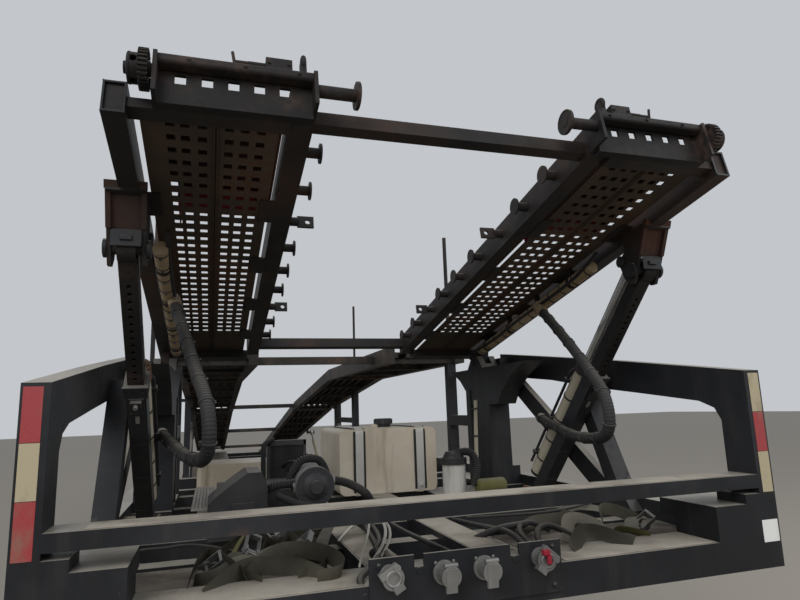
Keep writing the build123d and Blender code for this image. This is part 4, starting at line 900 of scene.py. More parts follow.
# Neck: tie-down webbing with ratchets, cables, dust on the plates, and a blank label on the corner.
# A web is the direction across its first width, and the points it runs through
webWide = {"webbing": 0.058, "olive_webbing": 0.05}
webTable = {
    "webbing": (
        ((0.2, 0.72, 0.68), ((-0.86, 0.2, 1.29), (-0.852, 0.331, 1.3), (-0.832, 0.407, 1.335),
         (-0.78, 0.481, 1.345), (-0.719, 0.324, 1.33), (-0.681, 0.241, 1.31), (-0.63, 0.18, 1.295))),
        ((0.1, 0.72, 0.68), ((-0.675, 0.22, 1.3), (-0.593, 0.383, 1.345), (-0.485, 0.358, 1.35),
         (-0.404, 0.274, 1.345), (-0.372, 0.16, 1.33), (-0.4, 0.09, 1.32), (-0.47, 0.1, 1.315))),
        ((0.1, 0.72, 0.68), ((-0.515, 0.3, 1.3), (-0.5, 0.36, 1.31), (-0.44, 0.359, 1.315),
         (-0.4, 0.27, 1.31), (-0.445, 0.199, 1.3), (-0.52, 0.171, 1.3))),
        ((0.6, 0.3, 0.2), ((-0.82, 0.46, 1.28), (-0.79, 0.52, 1.31), (-0.74, 0.45, 1.29), (-0.7, 0.52, 1.32),
         (-0.66, 0.44, 1.29), (-0.61, 0.53, 1.31), (-0.56, 0.46, 1.3))),
        ((0.7, -0.3, 0.3), ((-0.43, 0.38, 1.29), (-0.409, 0.42, 1.33), (-0.34, 0.62, 1.37),
         (-0.27, 0.75, 1.375), (-0.2, 0.76, 1.36), (-0.17, 0.7, 1.33))),
        ((0.4, 0.8, 0.2), ((-0.6, 0.62, 1.29), (-0.57, 0.68, 1.33), (-0.53, 0.6, 1.31), (-0.49, 0.68, 1.34),
         (-0.44, 0.6, 1.3), (-0.4, 0.66, 1.32), (-0.36, 0.58, 1.29))),
        ((0.2, 0.72, 0.68), ((0.45, 0.1, 1.305), (0.52, 0.18, 1.34), (0.6, 0.22, 1.345), (0.66, 0.16, 1.325),
         (0.7, 0.1, 1.305))),
        ((0.1, 0.8, 0.5), ((0.56, 0.3, 1.28), (0.62, 0.42, 1.34), (0.7, 0.46, 1.35), (0.76, 0.38, 1.32),
         (0.72, 0.3, 1.29))),
        ((0.2, 0.72, 0.68), ((0.62, 0.62, 1.29), (0.68, 0.68, 1.32), (0.76, 0.65, 1.32), (0.78, 0.56, 1.3),
         (0.7, 0.54, 1.29))),
        ((0.6, 0.6, 0.3), ((0.86, 0.3, 1.28), (0.92, 0.4, 1.32), (0.99, 0.44, 1.325), (1.06, 0.36, 1.31),
         (1.12, 0.28, 1.28))),
        ((0.2, 0.72, 0.68), ((0.9, 0.56, 1.29), (0.95, 0.67, 1.33), (1.02, 0.62, 1.33), (1.04, 0.5, 1.3))),
        ((0.3, 0.5, 0.8), ((-0.8, 0.14, 1.285), (-0.74, 0.2, 1.32), (-0.66, 0.3, 1.33), (-0.58, 0.26, 1.325),
         (-0.5, 0.2, 1.33), (-0.44, 0.13, 1.3))),
        ((0.5, 0.2, 0.7), ((-0.78, 0.62, 1.285), (-0.7, 0.7, 1.33), (-0.6, 0.74, 1.345), (-0.5, 0.68, 1.34),
         (-0.4, 0.76, 1.32), (-0.34, 0.84, 1.29))),
        ((0.1, 0.6, 0.8), ((-0.84, 0.34, 1.28), (-0.76, 0.3, 1.3), (-0.7, 0.38, 1.325), (-0.62, 0.42, 1.315),
         (-0.54, 0.5, 1.33), (-0.46, 0.46, 1.31), (-0.38, 0.5, 1.29))),
        ((0.3, 0.7, 0.5), ((0.7, 0.76, 1.285), (0.8, 0.72, 1.325), (0.9, 0.78, 1.33), (1.0, 0.72, 1.32),
         (1.1, 0.76, 1.29))),
        ((0.2, 0.4, 0.8), ((0.44, 0.5, 1.285), (0.52, 0.56, 1.32), (0.62, 0.52, 1.33), (0.72, 0.58, 1.32),
         (0.84, 0.5, 1.285))),
    ),
    "olive_webbing": (
        ((0.5, -0.4, 0.6), ((-0.72, 0.56, 1.29), (-0.693, 0.593, 1.34), (-0.633, 0.765, 1.375),
         (-0.564, 0.818, 1.38), (-0.5, 0.78, 1.34))),
        ((0.6, 0.4, 0.5), ((0.66, 0.2, 1.29), (0.72, 0.28, 1.32), (0.8, 0.26, 1.325), (0.86, 0.2, 1.3))),
    ),
}
ratchetTable = (  # x, y, z, turn
    (-0.543, 0.681, 1.35, 35), (-0.652, 0.46, 1.335, 100), (-0.474, 0.47, 1.33, -20), (-0.8, 0.4, 1.3, 10),
    (0.97, 0.4, 1.295, 15),
)
# A cable is its radius and the points it runs through
cableTable = {
    "black_rubber": (
        (0.012, ((-0.1, 1.5, 1.31), (-0.13, 0.84, 1.325), (-0.182, 0.629, 1.35), (-0.218, 0.348, 1.35),
         (-0.244, 0.182, 1.34), (-0.3, 0.1, 1.325), (-0.36, 0.04, 1.31), (-0.34, 0.006, 1.27))),
        (0.012, ((-0.06, 1.5, 1.31), (-0.105, 0.84, 1.325), (-0.155, 0.62, 1.34), (-0.195, 0.34, 1.345),
         (-0.225, 0.18, 1.335), (-0.21, 0.08, 1.33), (-0.15, 0.03, 1.31), (-0.1, 0.008, 1.28))),
        (0.01, ((-0.02, 1.5, 1.31), (-0.12, 0.8, 1.35), (-0.17, 0.6, 1.37), (-0.2, 0.33, 1.365),
         (-0.24, 0.24, 1.35), (-0.26, 0.265, 1.33), (-0.23, 0.3, 1.31))),
        (0.01, ((0.02, 1.4, 1.3), (-0.02, 0.8, 1.315), (0.0, 0.4, 1.32), (0.03, 0.15, 1.32),
         (0.06, 0.01, 1.29))),
        (0.011, ((0.3, 0.9, 1.3), (0.34, 0.6, 1.31), (0.317, 0.34, 1.345), (0.28, 0.15, 1.335),
         (0.25, 0.02, 1.31), (0.26, -0.004, 1.27))),
        (0.011, ((0.602, 0.526, 1.29), (0.531, 0.512, 1.33), (0.424, 0.447, 1.345), (0.33, 0.28, 1.345),
         (0.3, 0.12, 1.33), (0.27, 0.01, 1.3))),
        (0.013, ((0.24, 0.5, 1.29), (0.3, 0.42, 1.34), (0.4, 0.4, 1.35), (0.47, 0.46, 1.34),
         (0.44, 0.56, 1.3), (0.34, 0.6, 1.29))),
        (0.012, ((0.62, 0.34, 1.29), (0.54, 0.38, 1.34), (0.45, 0.34, 1.35), (0.37, 0.22, 1.335),
         (0.34, 0.1, 1.31), (0.31, 0.02, 1.28))),
        (0.006, ((-1.129, 0.74, 1.3), (-1.061, 0.82, 1.31), (-0.962, 0.79, 1.31), (-0.88, 0.81, 1.315),
         (-0.76, 0.72, 1.31), (-0.7, 0.66, 1.3))),
        (0.006, ((0.314, 0.74, 1.33), (0.542, 0.665, 1.335), (0.736, 0.647, 1.34), (0.97, 0.738, 1.345),
         (1.11, 0.87, 1.35))),
    ),
    "pale_hose": (
        (0.0055, ((-0.3, 0.62, 1.31), (-0.2, 0.7, 1.38), (-0.14, 0.55, 1.4), (-0.17, 0.35, 1.385),
         (-0.235, 0.2, 1.355), (-0.27, 0.16, 1.34))),
        (0.005, ((-0.28, 0.68, 1.31), (-0.18, 0.74, 1.37), (-0.115, 0.56, 1.385), (-0.15, 0.36, 1.37),
         (-0.22, 0.21, 1.345), (-0.25, 0.17, 1.335))),
        (0.004, ((-0.2, 0.5, 1.4), (-0.25, 0.3, 1.4), (-0.3, 0.2, 1.36), (-0.33, 0.12, 1.33))),
    ),
}
dustTable = {  # low corner, high corner
    "dry_dust": (((-1.09, 0.012, 1.3), (-0.34, 0.208, 1.3025)), ((0.36, 0.012, 1.3), (1.0, 0.208, 1.3025)),
                 ((0.145, 0.23, 1.3), (0.28, 2.0, 1.3025)), ((-0.28, 0.23, 1.3), (-0.145, 2.0, 1.3025)),
                 ((-1.12, 0.012, 1.5302), (1.12, 0.128, 1.532))),
    "dry_dirt": (((-1.19, 0.24, 1.2632), (-0.38, 0.63, 1.266)), ((0.38, 0.24, 1.2632), (1.19, 0.63, 1.266))),
}


# Drawn along local X at its full size, with the handle folded up, and then made smaller
def ratchetIn(bm, x, y, z, turn):
    flat = turnedAt(at(x, y, z), math.radians(turn), "Z")
    place = flat @ Matrix.Rotation(0.5, 4, "X") @ Matrix.Scale(0.72, 4)
    handle = place @ Matrix.Rotation(-0.7, 4, "Y")
    for out in (-1, 1):
        boxIn(bm, (-0.055, out * 0.029 - 0.0015, -0.014), (0.055, out * 0.029 + 0.0015, 0.016), place)
        boxIn(bm, (-0.02, out * 0.035 - 0.0015, -0.008), (0.1, out * 0.035 + 0.0015, 0.03), handle)
        rodIn(bm, (0, out * 0.026, 0.004), (0, out * 0.034, 0.004), 0.024, 14, place=place)
    rodIn(bm, (0, -0.04, 0.004), (0, 0.04, 0.004), 0.009, 14, place=place)
    rodIn(bm, (-0.045, -0.03, 0), (-0.045, 0.03, 0), 0.005, 10, place=place)
    boxIn(bm, (0.085, -0.036, 0.0), (0.1, 0.036, 0.028), handle)


def makeNeckThings():
    for finish, webs in webTable.items():
        bm = bmesh.new()
        for side, points in webs:
            strapIn(bm, points, webWide[finish], 0.0035, side)
        finishPiece(f"neck_{finish}", bm, "frame", finish)
    bm = bmesh.new()
    for spot in ratchetTable:
        ratchetIn(bm, *spot)
    finishPiece("neck_ratchets", bm, "frame", "coupling_metal", 0.0006)
    for finish, cables in cableTable.items():
        bm = bmesh.new()
        for radius, points in cables:
            pipeIn(bm, points, radius, 12)
        finishPiece(f"neck_{finish}_lines", bm, "frame", finish)
    for finish, boxes in dustTable.items():
        bm = bmesh.new()
        for low, high in boxes:
            boxIn(bm, at(*low), at(*high))
        finishPiece(f"neck_{finish}", bm, "frame", finish, 0.0008)
    bm = bmesh.new()
    boxIn(bm, at(1.213, -0.0012, 1.282), at(1.288, 0, 1.362))
    finishPiece("corner_label", bm, "frame", "blank_label", 0.0003)


makeNeckThings()
print("neck filled")


# Service plate: two air couplings and two sockets in place of the plain solids, with their form kept
serviceLook = {
    "air": ((-0.27, -0.5), (0.247, 0.7)), "sockets": (-0.09, 0.047), "z": 1.33, "front": -0.01,
    "bolts": ((-0.3, 1.235), (-0.3, 1.355), (0.3, 1.235), (0.3, 1.355)), "plugs": (-0.17, 0.16),
}


def airCoupling(bm, x, turn):
    z, front = serviceLook["z"], serviceLook["front"]
    for start, end, radius, segments, endRadius in (
        (0, 0.012, 0.03, 24, None), (0.01, 0.048, 0.021, 24, 0.024), (0.036, 0.056, 0.031, 28, 0.034),
    ):
        rodIn(bm, at(x, front - start, z), at(x, front - end, z), radius, segments, endRadius)
    ringIn(bm, at(x, front - 0.057, z), (0, 1, 0), 0.021, 0.005, 24)
    place = turnedAt(at(x, front - 0.05, z), turn, "Y")
    boxIn(bm, (-0.034, -0.01, 0.012), (0.03, 0.012, 0.034), place)
    boxIn(bm, (-0.016, -0.012, -0.043), (0.018, 0.012, -0.022), place)
    rodIn(bm, (0.024, -0.012, 0.02), (0.024, 0.014, 0.02), 0.011, 14, place=place)


def socketIn(bm, x):
    z, front = serviceLook["z"] - 0.012, serviceLook["front"]
    rodIn(bm, at(x, front, z), at(x, front - 0.01, z), 0.037, 28)
    rodIn(bm, at(x, front, z), at(x, front - 0.057, z), 0.029, 32)
    lid = turnedAt(at(x, front - 0.063, z), 0.1, "X")
    rodIn(bm, (0, -0.006, 0), (0, 0.006, 0), 0.032, 32, place=lid)
    boxIn(bm, (-0.018, -0.008, -0.046), (0.018, 0.004, 0.026), lid)
    rodIn(bm, (-0.022, 0.004, 0.032), (0.022, 0.004, 0.032), 0.008, 16, place=lid)
    for spot in (-0.03, 0.03):
        boltIn(bm, at(x + spot, front - 0.01, z + 0.032), (0, -1, 0), 0.005)


def makeServiceFittings():
    z, front = serviceLook["z"], serviceLook["front"]
    bm = bmesh.new()
    for x, turn in serviceLook["air"]:
        airCoupling(bm, x, turn)
    for x in serviceLook["sockets"]:
        socketIn(bm, x)
    fittings = finishPiece("service_fittings", bm, "frame", "coupling_metal", 0.0015)
    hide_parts("service_couplings")
    bm = bmesh.new()
    boxIn(bm, at(0.226, front - 0.073, z + 0.018), at(0.25, front - 0.054, z + 0.036))
    boxIn(bm, at(0.24, front - 0.07, z - 0.01), at(0.256, front - 0.058, z + 0.02))
    finishPiece("red_tab", bm, "frame", "red_coat", 0.003)
    bm = bmesh.new()
    for x, level in serviceLook["bolts"]:
        boltIn(bm, at(x, front, level), (0, -1, 0), 0.009)
    for x in serviceLook["plugs"]:
        rodIn(bm, at(x, front - 0.002, z), at(x, 0.004, z), 0.011, 16)
    finishPiece("service_bolts", bm, "frame", "frame_paint", 0.0008)


makeServiceFittings()
print("service plate fitted")


# Power pack: air cleaner's dome, clamps and ribbed hoses, radiator slats, a bent pipe, a ribbed walkway.
# A ribbed hose is its points, radius, depth of groove and pitch. A clamp is its two ends and its radius
packLook = {
    "cleaner": (-0.327, 1.01, 1.48), "can": 0.088, "bands": (0.002, 0.036, 0.07, 0.26),
    "clamps": (((-0.413, 1.08, 1.48), (-0.425, 1.08, 1.48), 0.034),
               ((-0.238, 1.08, 1.49), (-0.226, 1.08, 1.489), 0.034)),
    "core": ((-0.47, 1.9), (-0.24, 1.655)), "slats": 20, "coreLow": 1.31, "coreBar": 0.03, "corePost": 0.016,
    "walk": ((-0.885, 1.42), (-0.765, 2.3), 1.352), "ribs": 7, "filter": (0.69, 1.8),
    "roll": ((0.8, 1.7, 1.324), (1.0, 1.72, 1.324), 0.048),
    "ribbed": (
        (((-0.38, 1.08, 1.49), (-0.45, 1.06, 1.495), (-0.52, 1.06, 1.49), (-0.58, 1.1, 1.45)),
         0.021, 0.003, 0.012),
        (((-0.27, 1.08, 1.5), (-0.2, 1.06, 1.495), (-0.12, 1.05, 1.46), (-0.05, 1.08, 1.41),
          (-0.01, 1.2, 1.34)), 0.021, 0.003, 0.012),
        (((-0.5, 1.02, 1.45), (-0.42, 0.98, 1.41), (-0.32, 0.98, 1.39), (-0.22, 1.03, 1.36),
          (-0.16, 1.12, 1.32)), 0.017, 0.003, 0.011),
        (((0.7, 1.79, 1.525), (0.77, 1.76, 1.55), (0.815, 1.74, 1.5), (0.82, 1.73, 1.41), (0.79, 1.72, 1.33)),
         0.026, 0.004, 0.014),
        (((-0.43, 1.14, 1.5), (-0.4, 1.12, 1.585), (-0.335, 1.11, 1.605), (-0.27, 1.12, 1.585),
          (-0.245, 1.14, 1.5)), 0.02, 0.003, 0.012),
    ),
    "bentPipe": ((-0.5, 1.83, 1.3), (-0.5, 1.83, 1.45), (-0.5, 1.83, 1.6), (-0.495, 1.84, 1.65),
                 (-0.44, 1.88, 1.665)),
    "thinPipes": (((-0.34, 1.3, 1.52), (-0.36, 1.5, 1.6), (-0.38, 1.9, 1.5)),
                  ((-0.3, 1.3, 1.44), (-0.2, 1.6, 1.42), (-0.1, 1.86, 1.36)),
                  ((-0.6, 1.33, 1.42), (-0.62, 1.6, 1.5), (-0.45, 1.88, 1.42))),
    "coverBars": (((-0.7, 1.002, 1.3), (-0.6, 1.01, 1.43)), ((-0.828, 1.0, 1.3), (-0.548, 1.012, 1.318)),
                  ((-0.78, 1.001, 1.372), (-0.548, 1.011, 1.386))),
}


def makeAirCleaner():
    x, y, z = packLook["cleaner"]
    can = packLook["can"]
    bm = bmesh.new()
    dome = Matrix.Translation(at(x, y, z)) @ Matrix.Diagonal((1, 0.42, 1, 1))
    bmesh.ops.create_uvsphere(bm, u_segments=28, v_segments=14, radius=can * 0.78, matrix=dome)
    sleeveIn(bm, at(x, y - 0.012, z), at(x, y + 0.002, z), can + 0.001, can * 0.6, 40)
    rodIn(bm, at(x, y - 0.032, z), at(x, y - 0.052, z), 0.03, 20)
    for turn in range(6):
        place = turnedAt(at(x, y, z), turn * math.pi / 3, "Y")
        boxIn(bm, (-0.006, -0.014, 0.045), (0.006, 0.01, 0.068), place)
    finishPiece("cleaner_dome", bm, "frame", "dark_plastic", 0.0015)
    bm = bmesh.new()
    for spot in packLook["bands"]:
        sleeveIn(bm, at(x, y + spot, z), at(x, y + spot + 0.02, z), can + 0.003, can - 0.001, 40)
    for start, end, radius in packLook["clamps"]:
        sleeveIn(bm, at(*start), at(*end), radius, radius - 0.004, 28)
    finishPiece("cleaner_clamps", bm, "frame", "coupling_metal", 0.0008)


def makePackHoses():
    bm = bmesh.new()
    for points, radius, rib, pitch in packLook["ribbed"]:
        ribbedIn(bm, splinePoints([at(*point) for point in points], 16), radius, rib, pitch)
    pipeIn(bm, packLook["bentPipe"], 0.015, 14, 12)
    for points in packLook["thinPipes"]:
        pipeIn(bm, points, 0.009, 10, 12)
    finishPiece("pack_hoses", bm, "frame", "black_rubber")


def makeRadiator():
    bm = bmesh.new()
    (low, front), (high, top) = packLook["core"]
    base, bar, post, slats = packLook["coreLow"], packLook["coreBar"], packLook["corePost"], packLook["slats"]
    for count in range(slats):
        spot = low + 0.012 + (high - low - 0.03) * count / (slats - 1)
        boxIn(bm, at(spot, front - 0.007, base + 0.02), at(spot + 0.003, front, top - bar))
    for level in (base, top - bar):
        boxIn(bm, at(low, front - 0.014, level), at(high, front, level + bar))
    for spot in (low, high - post):
        boxIn(bm, at(spot, front - 0.014, base), at(spot + post, front, top))
    finishPiece("radiator_slats", bm, "frame", "engine_iron", 0.0008)


def makeWalkway():
    bm = bmesh.new()
    (left, start), (right, end), level = packLook["walk"]
    boxIn(bm, at(left, start, level), at(right, end, level + 0.012))
    for count in range(packLook["ribs"]):
        spot = left + 0.004 + (right - left - 0.018) * count / (packLook["ribs"] - 1)
        boxIn(bm, at(spot, start, level + 0.01), at(spot + 0.01, end, level + 0.022))
    for spot in (start + 0.05, end - 0.1):
        boxIn(bm, at(left + 0.03, spot, 1.275), at(right - 0.03, spot + 0.05, level + 0.001))
    finishPiece("ribbed_walk", bm, "frame", "strap_steel", 0.0008)


def makePackFittings():
    bm = bmesh.new()
    cap = packLook["filter"]
    rodIn(bm, at(*cap, 1.499), at(*cap, 1.54), 0.07, 32, 0.05)
    sleeveIn(bm, at(*cap, 1.462), at(*cap, 1.502), 0.0845, 0.0745, 40)
    for x, y in circlePoints(6, 0.06):
        boltIn(bm, at(cap[0] + x, cap[1] + y, 1.52), (0, 0, 1), 0.007)
    finishPiece("filter_cap", bm, "frame", "dark_plastic", 0.0012)
    bm = bmesh.new()
    start, end, radius = packLook["roll"]
    rodIn(bm, at(*start), at(*end), radius, 28)
    finishPiece("olive_roll", bm, "frame", "olive_webbing", 0.02, 4)
    bm = bmesh.new()
    for z in (1.33, 1.39):
        for y in (1.04, 1.29):
            boltIn(bm, at(-0.545, y, z), (1, 0, 0), 0.007)
    for low, high in packLook["coverBars"]:
        boxIn(bm, at(*low), at(*high))
    for x in (-0.74, -0.6):
        boltIn(bm, at(x, 1.01, 1.32), (0, -1, 0), 0.008)
    finishPiece("cover_fixings", bm, "frame", "dark_plastic", 0.0008)


for makePackPiece in (makeAirCleaner, makePackHoses, makeRadiator, makeWalkway, makePackFittings):
    makePackPiece()
print("power pack dressed")


# Twin wheels: grooved tyres in place of the plain ones, nuts, hand holes, hub cap bolts and valves
wheelLook = {
    "axles": (12.35, 13.6), "high": 0.398, "outer": 1.1775, "inner": 0.9075, "rim": 0.222, "wide": 0.235,
    "seat": 0.0827, "grooves": (-0.062, -0.022, 0.022, 0.062), "grooveWide": 0.009, "grooveDeep": 0.011,
    "blocks": 48, "face": 1.0545, "nutCircle": 0.15, "nuts": 10, "holeCircle": 0.184, "cap": 1.262,
    "capCircle": 0.055,
}


# Half the tyre's section from the bead to the tread, the grooves, and the same half mirrored
def tyreProfile():
    half, high, bead = wheelLook["wide"] / 2, wheelLook["high"], wheelLook["rim"] + 0.0003
    seat, wide, low = wheelLook["seat"], wheelLook["grooveWide"] / 2, high - wheelLook["grooveDeep"]
    wall = [(-seat, bead), (-seat, bead + 0.018), (-half + 0.008, bead + 0.034),
            (-half + 0.0015, bead + 0.056), (-half, bead + 0.078), (-half, high - 0.07),
            (-half + 0.003, high - 0.042), (-half + 0.009, high - 0.022), (-half + 0.018, high - 0.009),
            (-half + 0.034, high)]
    tread = []
    for spot in wheelLook["grooves"]:
        left, right = spot - wide, spot + wide
        tread += [(left - 0.002, high), (left, low), (right, low), (right + 0.002, high)]
    return wall + tread + [(-x, radius) for x, radius in reversed(wall)]


def makeTyres(body, side, y, high):
    bm = bmesh.new()
    for x in (wheelLook["inner"], wheelLook["outer"]):
        middle = at(side * x, y, high)
        turnedIn(bm, tyreProfile(), 72, turnedAt(middle, math.pi / 2, "Y"))
        for turn in range(wheelLook["blocks"]):
            spin = turnedAt(middle, 2 * math.pi * turn / wheelLook["blocks"], "X")
            for out in (-1, 1):
                left, right = acrossSides(out, 0.086, 0.1085)
                boxIn(bm, (left, -0.006, high - 0.05), (right, 0.006, high - 0.0065), spin)
    tyres = finishPiece(f"{body}_tyres", bm, body, "tyre_rubber")
    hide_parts(body.replace("wheels", "tyres"))


def makeWheels(body, side, y):
    high, nuts = wheelLook["high"], wheelLook["nuts"]
    face, cap = side * wheelLook["face"], side * wheelLook["cap"]
    makeTyres(body, side, y, high)
    bm = bmesh.new()
    for along, up in circlePoints(nuts, wheelLook["nutCircle"]):
        spot = at(face, y + along, high + up)
        boltIn(bm, spot, (side, 0, 0), 0.015)
        rodIn(bm, spot, spot + Vector((side * 0.028, 0, 0)), 0.008, 10)
    for along, up in circlePoints(6, wheelLook["capCircle"]):
        boltIn(bm, at(cap, y + along, high + up), (side, 0, 0), 0.006)
    rodIn(bm, at(cap, y, high), at(cap + side * 0.008, y, high), 0.034, 28, 0.03)
    rodIn(bm, at(side * 1.06, y, high + 0.196), at(side * 1.2, y, high + 0.19), 0.004, 8)
    finishPiece(f"{body}_nuts", bm, body, "coupling_metal", 0.0008)
    bm = bmesh.new()
    for along, up in circlePoints(nuts, wheelLook["holeCircle"], math.pi / nuts):
        spot = at(face, y + along, high + up)
        rodIn(bm, spot, spot + Vector((side * 0.0012, 0, 0)), 0.016, 20)
    finishPiece(f"{body}_hand_holes", bm, body, "black_rubber")


for number, y in enumerate(wheelLook["axles"], start=1):
    for label, side in sides:
        makeWheels(f"wheels_{number}_{label}", side, y)
print("wheels made")


# Underneath: brake chambers, spring bolts, air lines and a reservoir. Y is counted from each axle
# for the chambers, and a chamber's part is its start, end, radius and end radius
gearLook = {
    "chamber": (0.42, 0.4), "chamberParts": ((0.13, 0.2, 0.078, 0.078), (0.2, 0.3, 0.07, 0.06)),
    "spring": 0.6, "springBolts": ((-0.045, -0.06), (0.045, -0.06), (-0.045, 0.06), (0.045, 0.06)),
    "reservoir": (11.9, 0.52), "reservoirHalf": 0.32, "reservoirRadius": 0.12, "bands": (-0.2, 0.2),
    "lines": ((0.1, 3.72, 0.47), (0.1, 5.0, 0.465), (0.1, 8.5, 0.468), (0.1, 11.2, 0.47), (0.12, 11.6, 0.5),
              (0.2, 11.8, 0.5)),
    "lineSteps": (0.0, 0.03, 0.06),
}


def brakeIn(bm, x, y, z):
    for start, end, radius, endRadius in gearLook["chamberParts"]:
        rodIn(bm, at(x, y + start, z), at(x, y + end, z), radius, 28, endRadius)
    ringIn(bm, at(x, y + 0.2, z), (0, 1, 0), 0.075, 0.007)
    rodIn(bm, at(x, y - 0.02, z), at(x, y + 0.14, z), 0.009, 10)
    boxIn(bm, at(x - 0.012, y - 0.05, 0.33), at(x + 0.012, y + 0.005, 0.43))


def makeRunningGear():
    bm = bmesh.new()
    across, level = gearLook["chamber"]
    for axle in wheelLook["axles"]:
        for label, side in sides:
            brakeIn(bm, side * across, axle, level)
            for out, along in gearLook["springBolts"]:
                x, y = side * gearLook["spring"] + out, axle + along
                rodIn(bm, at(x, y, 0.3), at(x, y, 0.5), 0.008, 10)
    finishPiece("brake_chambers", bm, "frame", "running_gear", 0.002)
    bm = bmesh.new()
    y, z = gearLook["reservoir"]
    half, radius = gearLook["reservoirHalf"], gearLook["reservoirRadius"]
    rodIn(bm, at(-half, y, z), at(half, y, z), radius, 36)
    for x in gearLook["bands"]:
        sleeveIn(bm, at(x - 0.02, y, z), at(x + 0.02, y, z), radius + 0.004, radius - 0.001, 36)
        boxIn(bm, at(x - 0.02, y - 0.02, z + 0.1), at(x + 0.02, y + 0.02, 0.748))
    finishPiece("air_reservoir", bm, "frame", "frame_paint", 0.003)
    bm = bmesh.new()
    for step in gearLook["lineSteps"]:
        pipeIn(bm, [(x + step, y, z) for x, y, z in gearLook["lines"]], 0.008, 8, 8)
    finishPiece("air_lines", bm, "frame", "black_rubber")


makeRunningGear()


# Lamps and blank plates: tail lamps, side markers, and reflective strips along the sills
lampLook = {
    "tail": 16.15, "tailX": (0.66, 0.8, 0.94), "tailZ": 0.495, "radius": 0.05, "sideX": 1.295,
    "markers": ((0.6, 1.24, "lamp_amber"), (3.9, 0.44, "lamp_amber"), (8.0, 0.44, "lamp_amber"),
                (15.9, 0.545, "lamp_red")),
    "middle": (-0.12, 0, 0.12), "strips": (4.1, 5.0, 5.9, 6.8, 7.7, 8.6, 9.5, 10.4),
    "stripLong": 0.26, "stripShift": 0.28, "tailStrips": (-1.0, -0.5, 0.26, 0.76),
}


def makeLamps():
    lenses = {"lamp_red": bmesh.new(), "lamp_amber": bmesh.new()}
    rims = bmesh.new()
    tail, edge, radius = lampLook["tail"], lampLook["sideX"], lampLook["radius"]
    for label, side in sides:
        for x in lampLook["tailX"]:
            spot = at(side * x, tail, lampLook["tailZ"])
            rodIn(lenses["lamp_red"], spot, spot + Vector((0, 0.014, 0)), radius, 32, radius * 0.86)
            sleeveIn(rims, spot, spot + Vector((0, 0.01, 0)), radius + 0.009, radius + 0.001, 32)
        for y, z, kind in lampLook["markers"]:
            low, high = acrossSides(side, edge, edge + 0.012)
            boxIn(lenses[kind], at(low, y - 0.05, z - 0.016), at(high, y + 0.05, z + 0.016))
            low, high = acrossSides(side, edge - 0.001, edge + 0.005)
            boxIn(rims, at(low, y - 0.058, z - 0.023), at(high, y + 0.058, z + 0.023))
    for x in lampLook["middle"]:
        boxIn(lenses["lamp_red"], at(x - 0.035, tail, 0.535), at(x + 0.035, tail + 0.01, 0.556))
    for kind, bm in lenses.items():
        finishPiece(f"{kind}_lenses", bm, "frame", kind, 0.003, 3)
    finishPiece("lamp_rims", rims, "frame", "dark_plastic", 0.0012)
    bm = bmesh.new()
    boxIn(bm, at(-0.155, tail, 0.385), at(0.155, tail + 0.003, 0.52))
    finishPiece("blank_plate", bm, "frame", "blank_label", 0.001)


def makeStrips(kind, shift):
    bm = bmesh.new()
    for label, side in sides:
        low, high = acrossSides(side, lampLook["sideX"], lampLook["sideX"] + 0.001)
        for y in lampLook["strips"]:
            boxIn(bm, at(low, y + shift, 0.37), at(high, y + shift + lampLook["stripLong"], 0.42))
    for x in lampLook["tailStrips"]:
        start = x + shift * 0.85
        boxIn(bm, at(start, lampLook["tail"], 0.436), at(start + 0.2, lampLook["tail"] + 0.001, 0.444))
    finishPiece(f"side_{kind}", bm, "frame", kind, 0.0002)


makeLamps()
makeStrips("tape_red", 0.0)
makeStrips("tape_pale", lampLook["stripShift"])


# Sides: a sheathed pipe by the right pivot post, landing gear crank, valve bank with levers, and bolts
# at the deck hinges and the tail
sideLook = {
    "pipe": ((0.893, 1.9, 1.32), (0.896, 1.9, 1.5), (0.904, 1.9, 1.7), (0.912, 1.9, 1.86)),
    "pipeTies": (1.42, 1.62, 1.8), "legBolts": (0.84, (2.985, 3.115), (0.66, 1.1)), "levers": 7,
    "hinge": 1.154, "tailBolts": ((0.74, 1.04), (15.05, 15.35, 15.65), 0.556),
}


def makePostPipe():
    bm = bmesh.new()
    pipeIn(bm, sideLook["pipe"], 0.013)
    finishPiece("post_pipe", bm, "frame", "cream_sheath")
    bm = bmesh.new()
    for level in sideLook["pipeTies"]:
        sleeveIn(bm, at(0.903, 1.9, level), at(0.903, 1.9, level + 0.01), 0.021, 0.012, 20)
    finishPiece("post_pipe_ties", bm, "frame", "dark_plastic")


def makeLegCrank():
    bm = bmesh.new()
    boxIn(bm, at(0.965, 2.98, 0.98), at(1.05, 3.12, 1.16))
    rodIn(bm, at(1.04, 3.05, 1.08), at(1.27, 3.05, 1.08), 0.014, 16)
    rodIn(bm, at(1.262, 3.05, 1.08), at(1.262, 3.27, 1.0), 0.011, 14)
    rodIn(bm, at(1.262, 3.262, 1.004), at(1.19, 3.262, 1.004), 0.013, 14)
    across, along, levels = sideLook["legBolts"]
    for label, side in sides:
        for z in levels:
            for y in along:
                boltIn(bm, at(side * across, y, z), (-side, 0, 0), 0.009)
    finishPiece("leg_crank", bm, "frame", "frame_paint", 0.003)


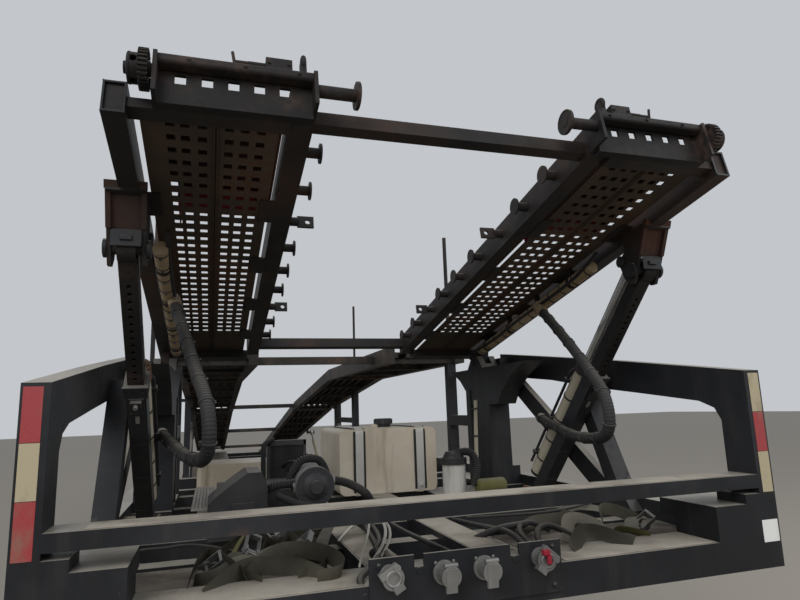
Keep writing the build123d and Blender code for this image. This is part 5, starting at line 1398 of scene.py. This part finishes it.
def makeValveBank():
    bm = bmesh.new()
    boxIn(bm, at(-1.275, 5.45, 0.53), at(-1.155, 5.95, 0.6))
    boxIn(bm, at(-1.27, 5.47, 0.6), at(-1.17, 5.93, 0.7))
    for count in range(sideLook["levers"]):
        y = 5.5 + count * 0.066
        rodIn(bm, at(-1.22, y, 0.7), at(-1.235, y, 0.82), 0.006, 10)
        rodIn(bm, at(-1.234, y, 0.81), at(-1.238, y, 0.845), 0.013, 16)
        boltIn(bm, at(-1.27, y, 0.65), (-1, 0, 0), 0.009)
    finishPiece("valve_bank", bm, "frame", "running_gear", 0.003)


def makeHingeBolts():
    bm = bmesh.new()
    across, along, level = sideLook["tailBolts"]
    for label, side in sides:
        for y, z in circlePoints(4, 0.022, math.pi / 4):
            hinge = at(side * sideLook["hinge"], *hingePlace)
            boltIn(bm, hinge + Vector((0, y, z)), (side, 0, 0), 0.006)
        for y in along:
            for x in across:
                boltIn(bm, at(side * x, y, level), (0, 0, 1), 0.01)
    finishPiece("hinge_bolts", bm, "frame", "coupling_metal", 0.0008)


for makeSidePiece in (makePostPipe, makeLegCrank, makeValveBank, makeHingeBolts):
    makeSidePiece()
print("sides and tail dressed")


# Floor, light and backdrop. A lamp is its name, place, turn, size and power
stage = {
    "floor": (0.3, 0.27, 0.23), "sky": (0.78, 0.81, 0.85), "skyStrength": 0.7, "floorHalf": 60,
    "lamps": (("key", (-7, -9, 9), (0.75, 0, -0.6), 8, 900), ("fill", (9, -4, 7), (0.75, 0, 1.1), 8, 450)),
}


def makeFloor():
    bm = bmesh.new()
    half = stage["floorHalf"]
    boxIn(bm, (-half, -half, -0.02), (half, half, 0))
    mesh = bpy.data.meshes.new("floor")
    bm.to_mesh(mesh)
    bm.free()
    floor = bpy.data.objects.new("floor", mesh)
    bpy.context.scene.collection.objects.link(floor)
    material, tree, shader = newMaterial("floor")
    shader.inputs["Base Color"].default_value = (*stage["floor"], 1)
    shader.inputs["Roughness"].default_value = 0.9
    mesh.materials.append(material)


def makeLight():
    world = bpy.data.worlds.new("studio")
    bpy.context.scene.world = world
    world.use_nodes = True
    back = world.node_tree.nodes["Background"]
    back.inputs["Color"].default_value = (*stage["sky"], 1)
    back.inputs["Strength"].default_value = stage["skyStrength"]
    for name, place, turn, size, power in stage["lamps"]:
        data = bpy.data.lights.new(name, "AREA")
        data.energy = power
        data.size = size
        lamp = bpy.data.objects.new(name, data)
        lamp.location = at(*place)
        lamp.rotation_euler = turn
        bpy.context.scene.collection.objects.link(lamp)


makeFloor()
makeLight()
bpy.context.scene.view_settings.view_transform = "Standard"
print("stage set")
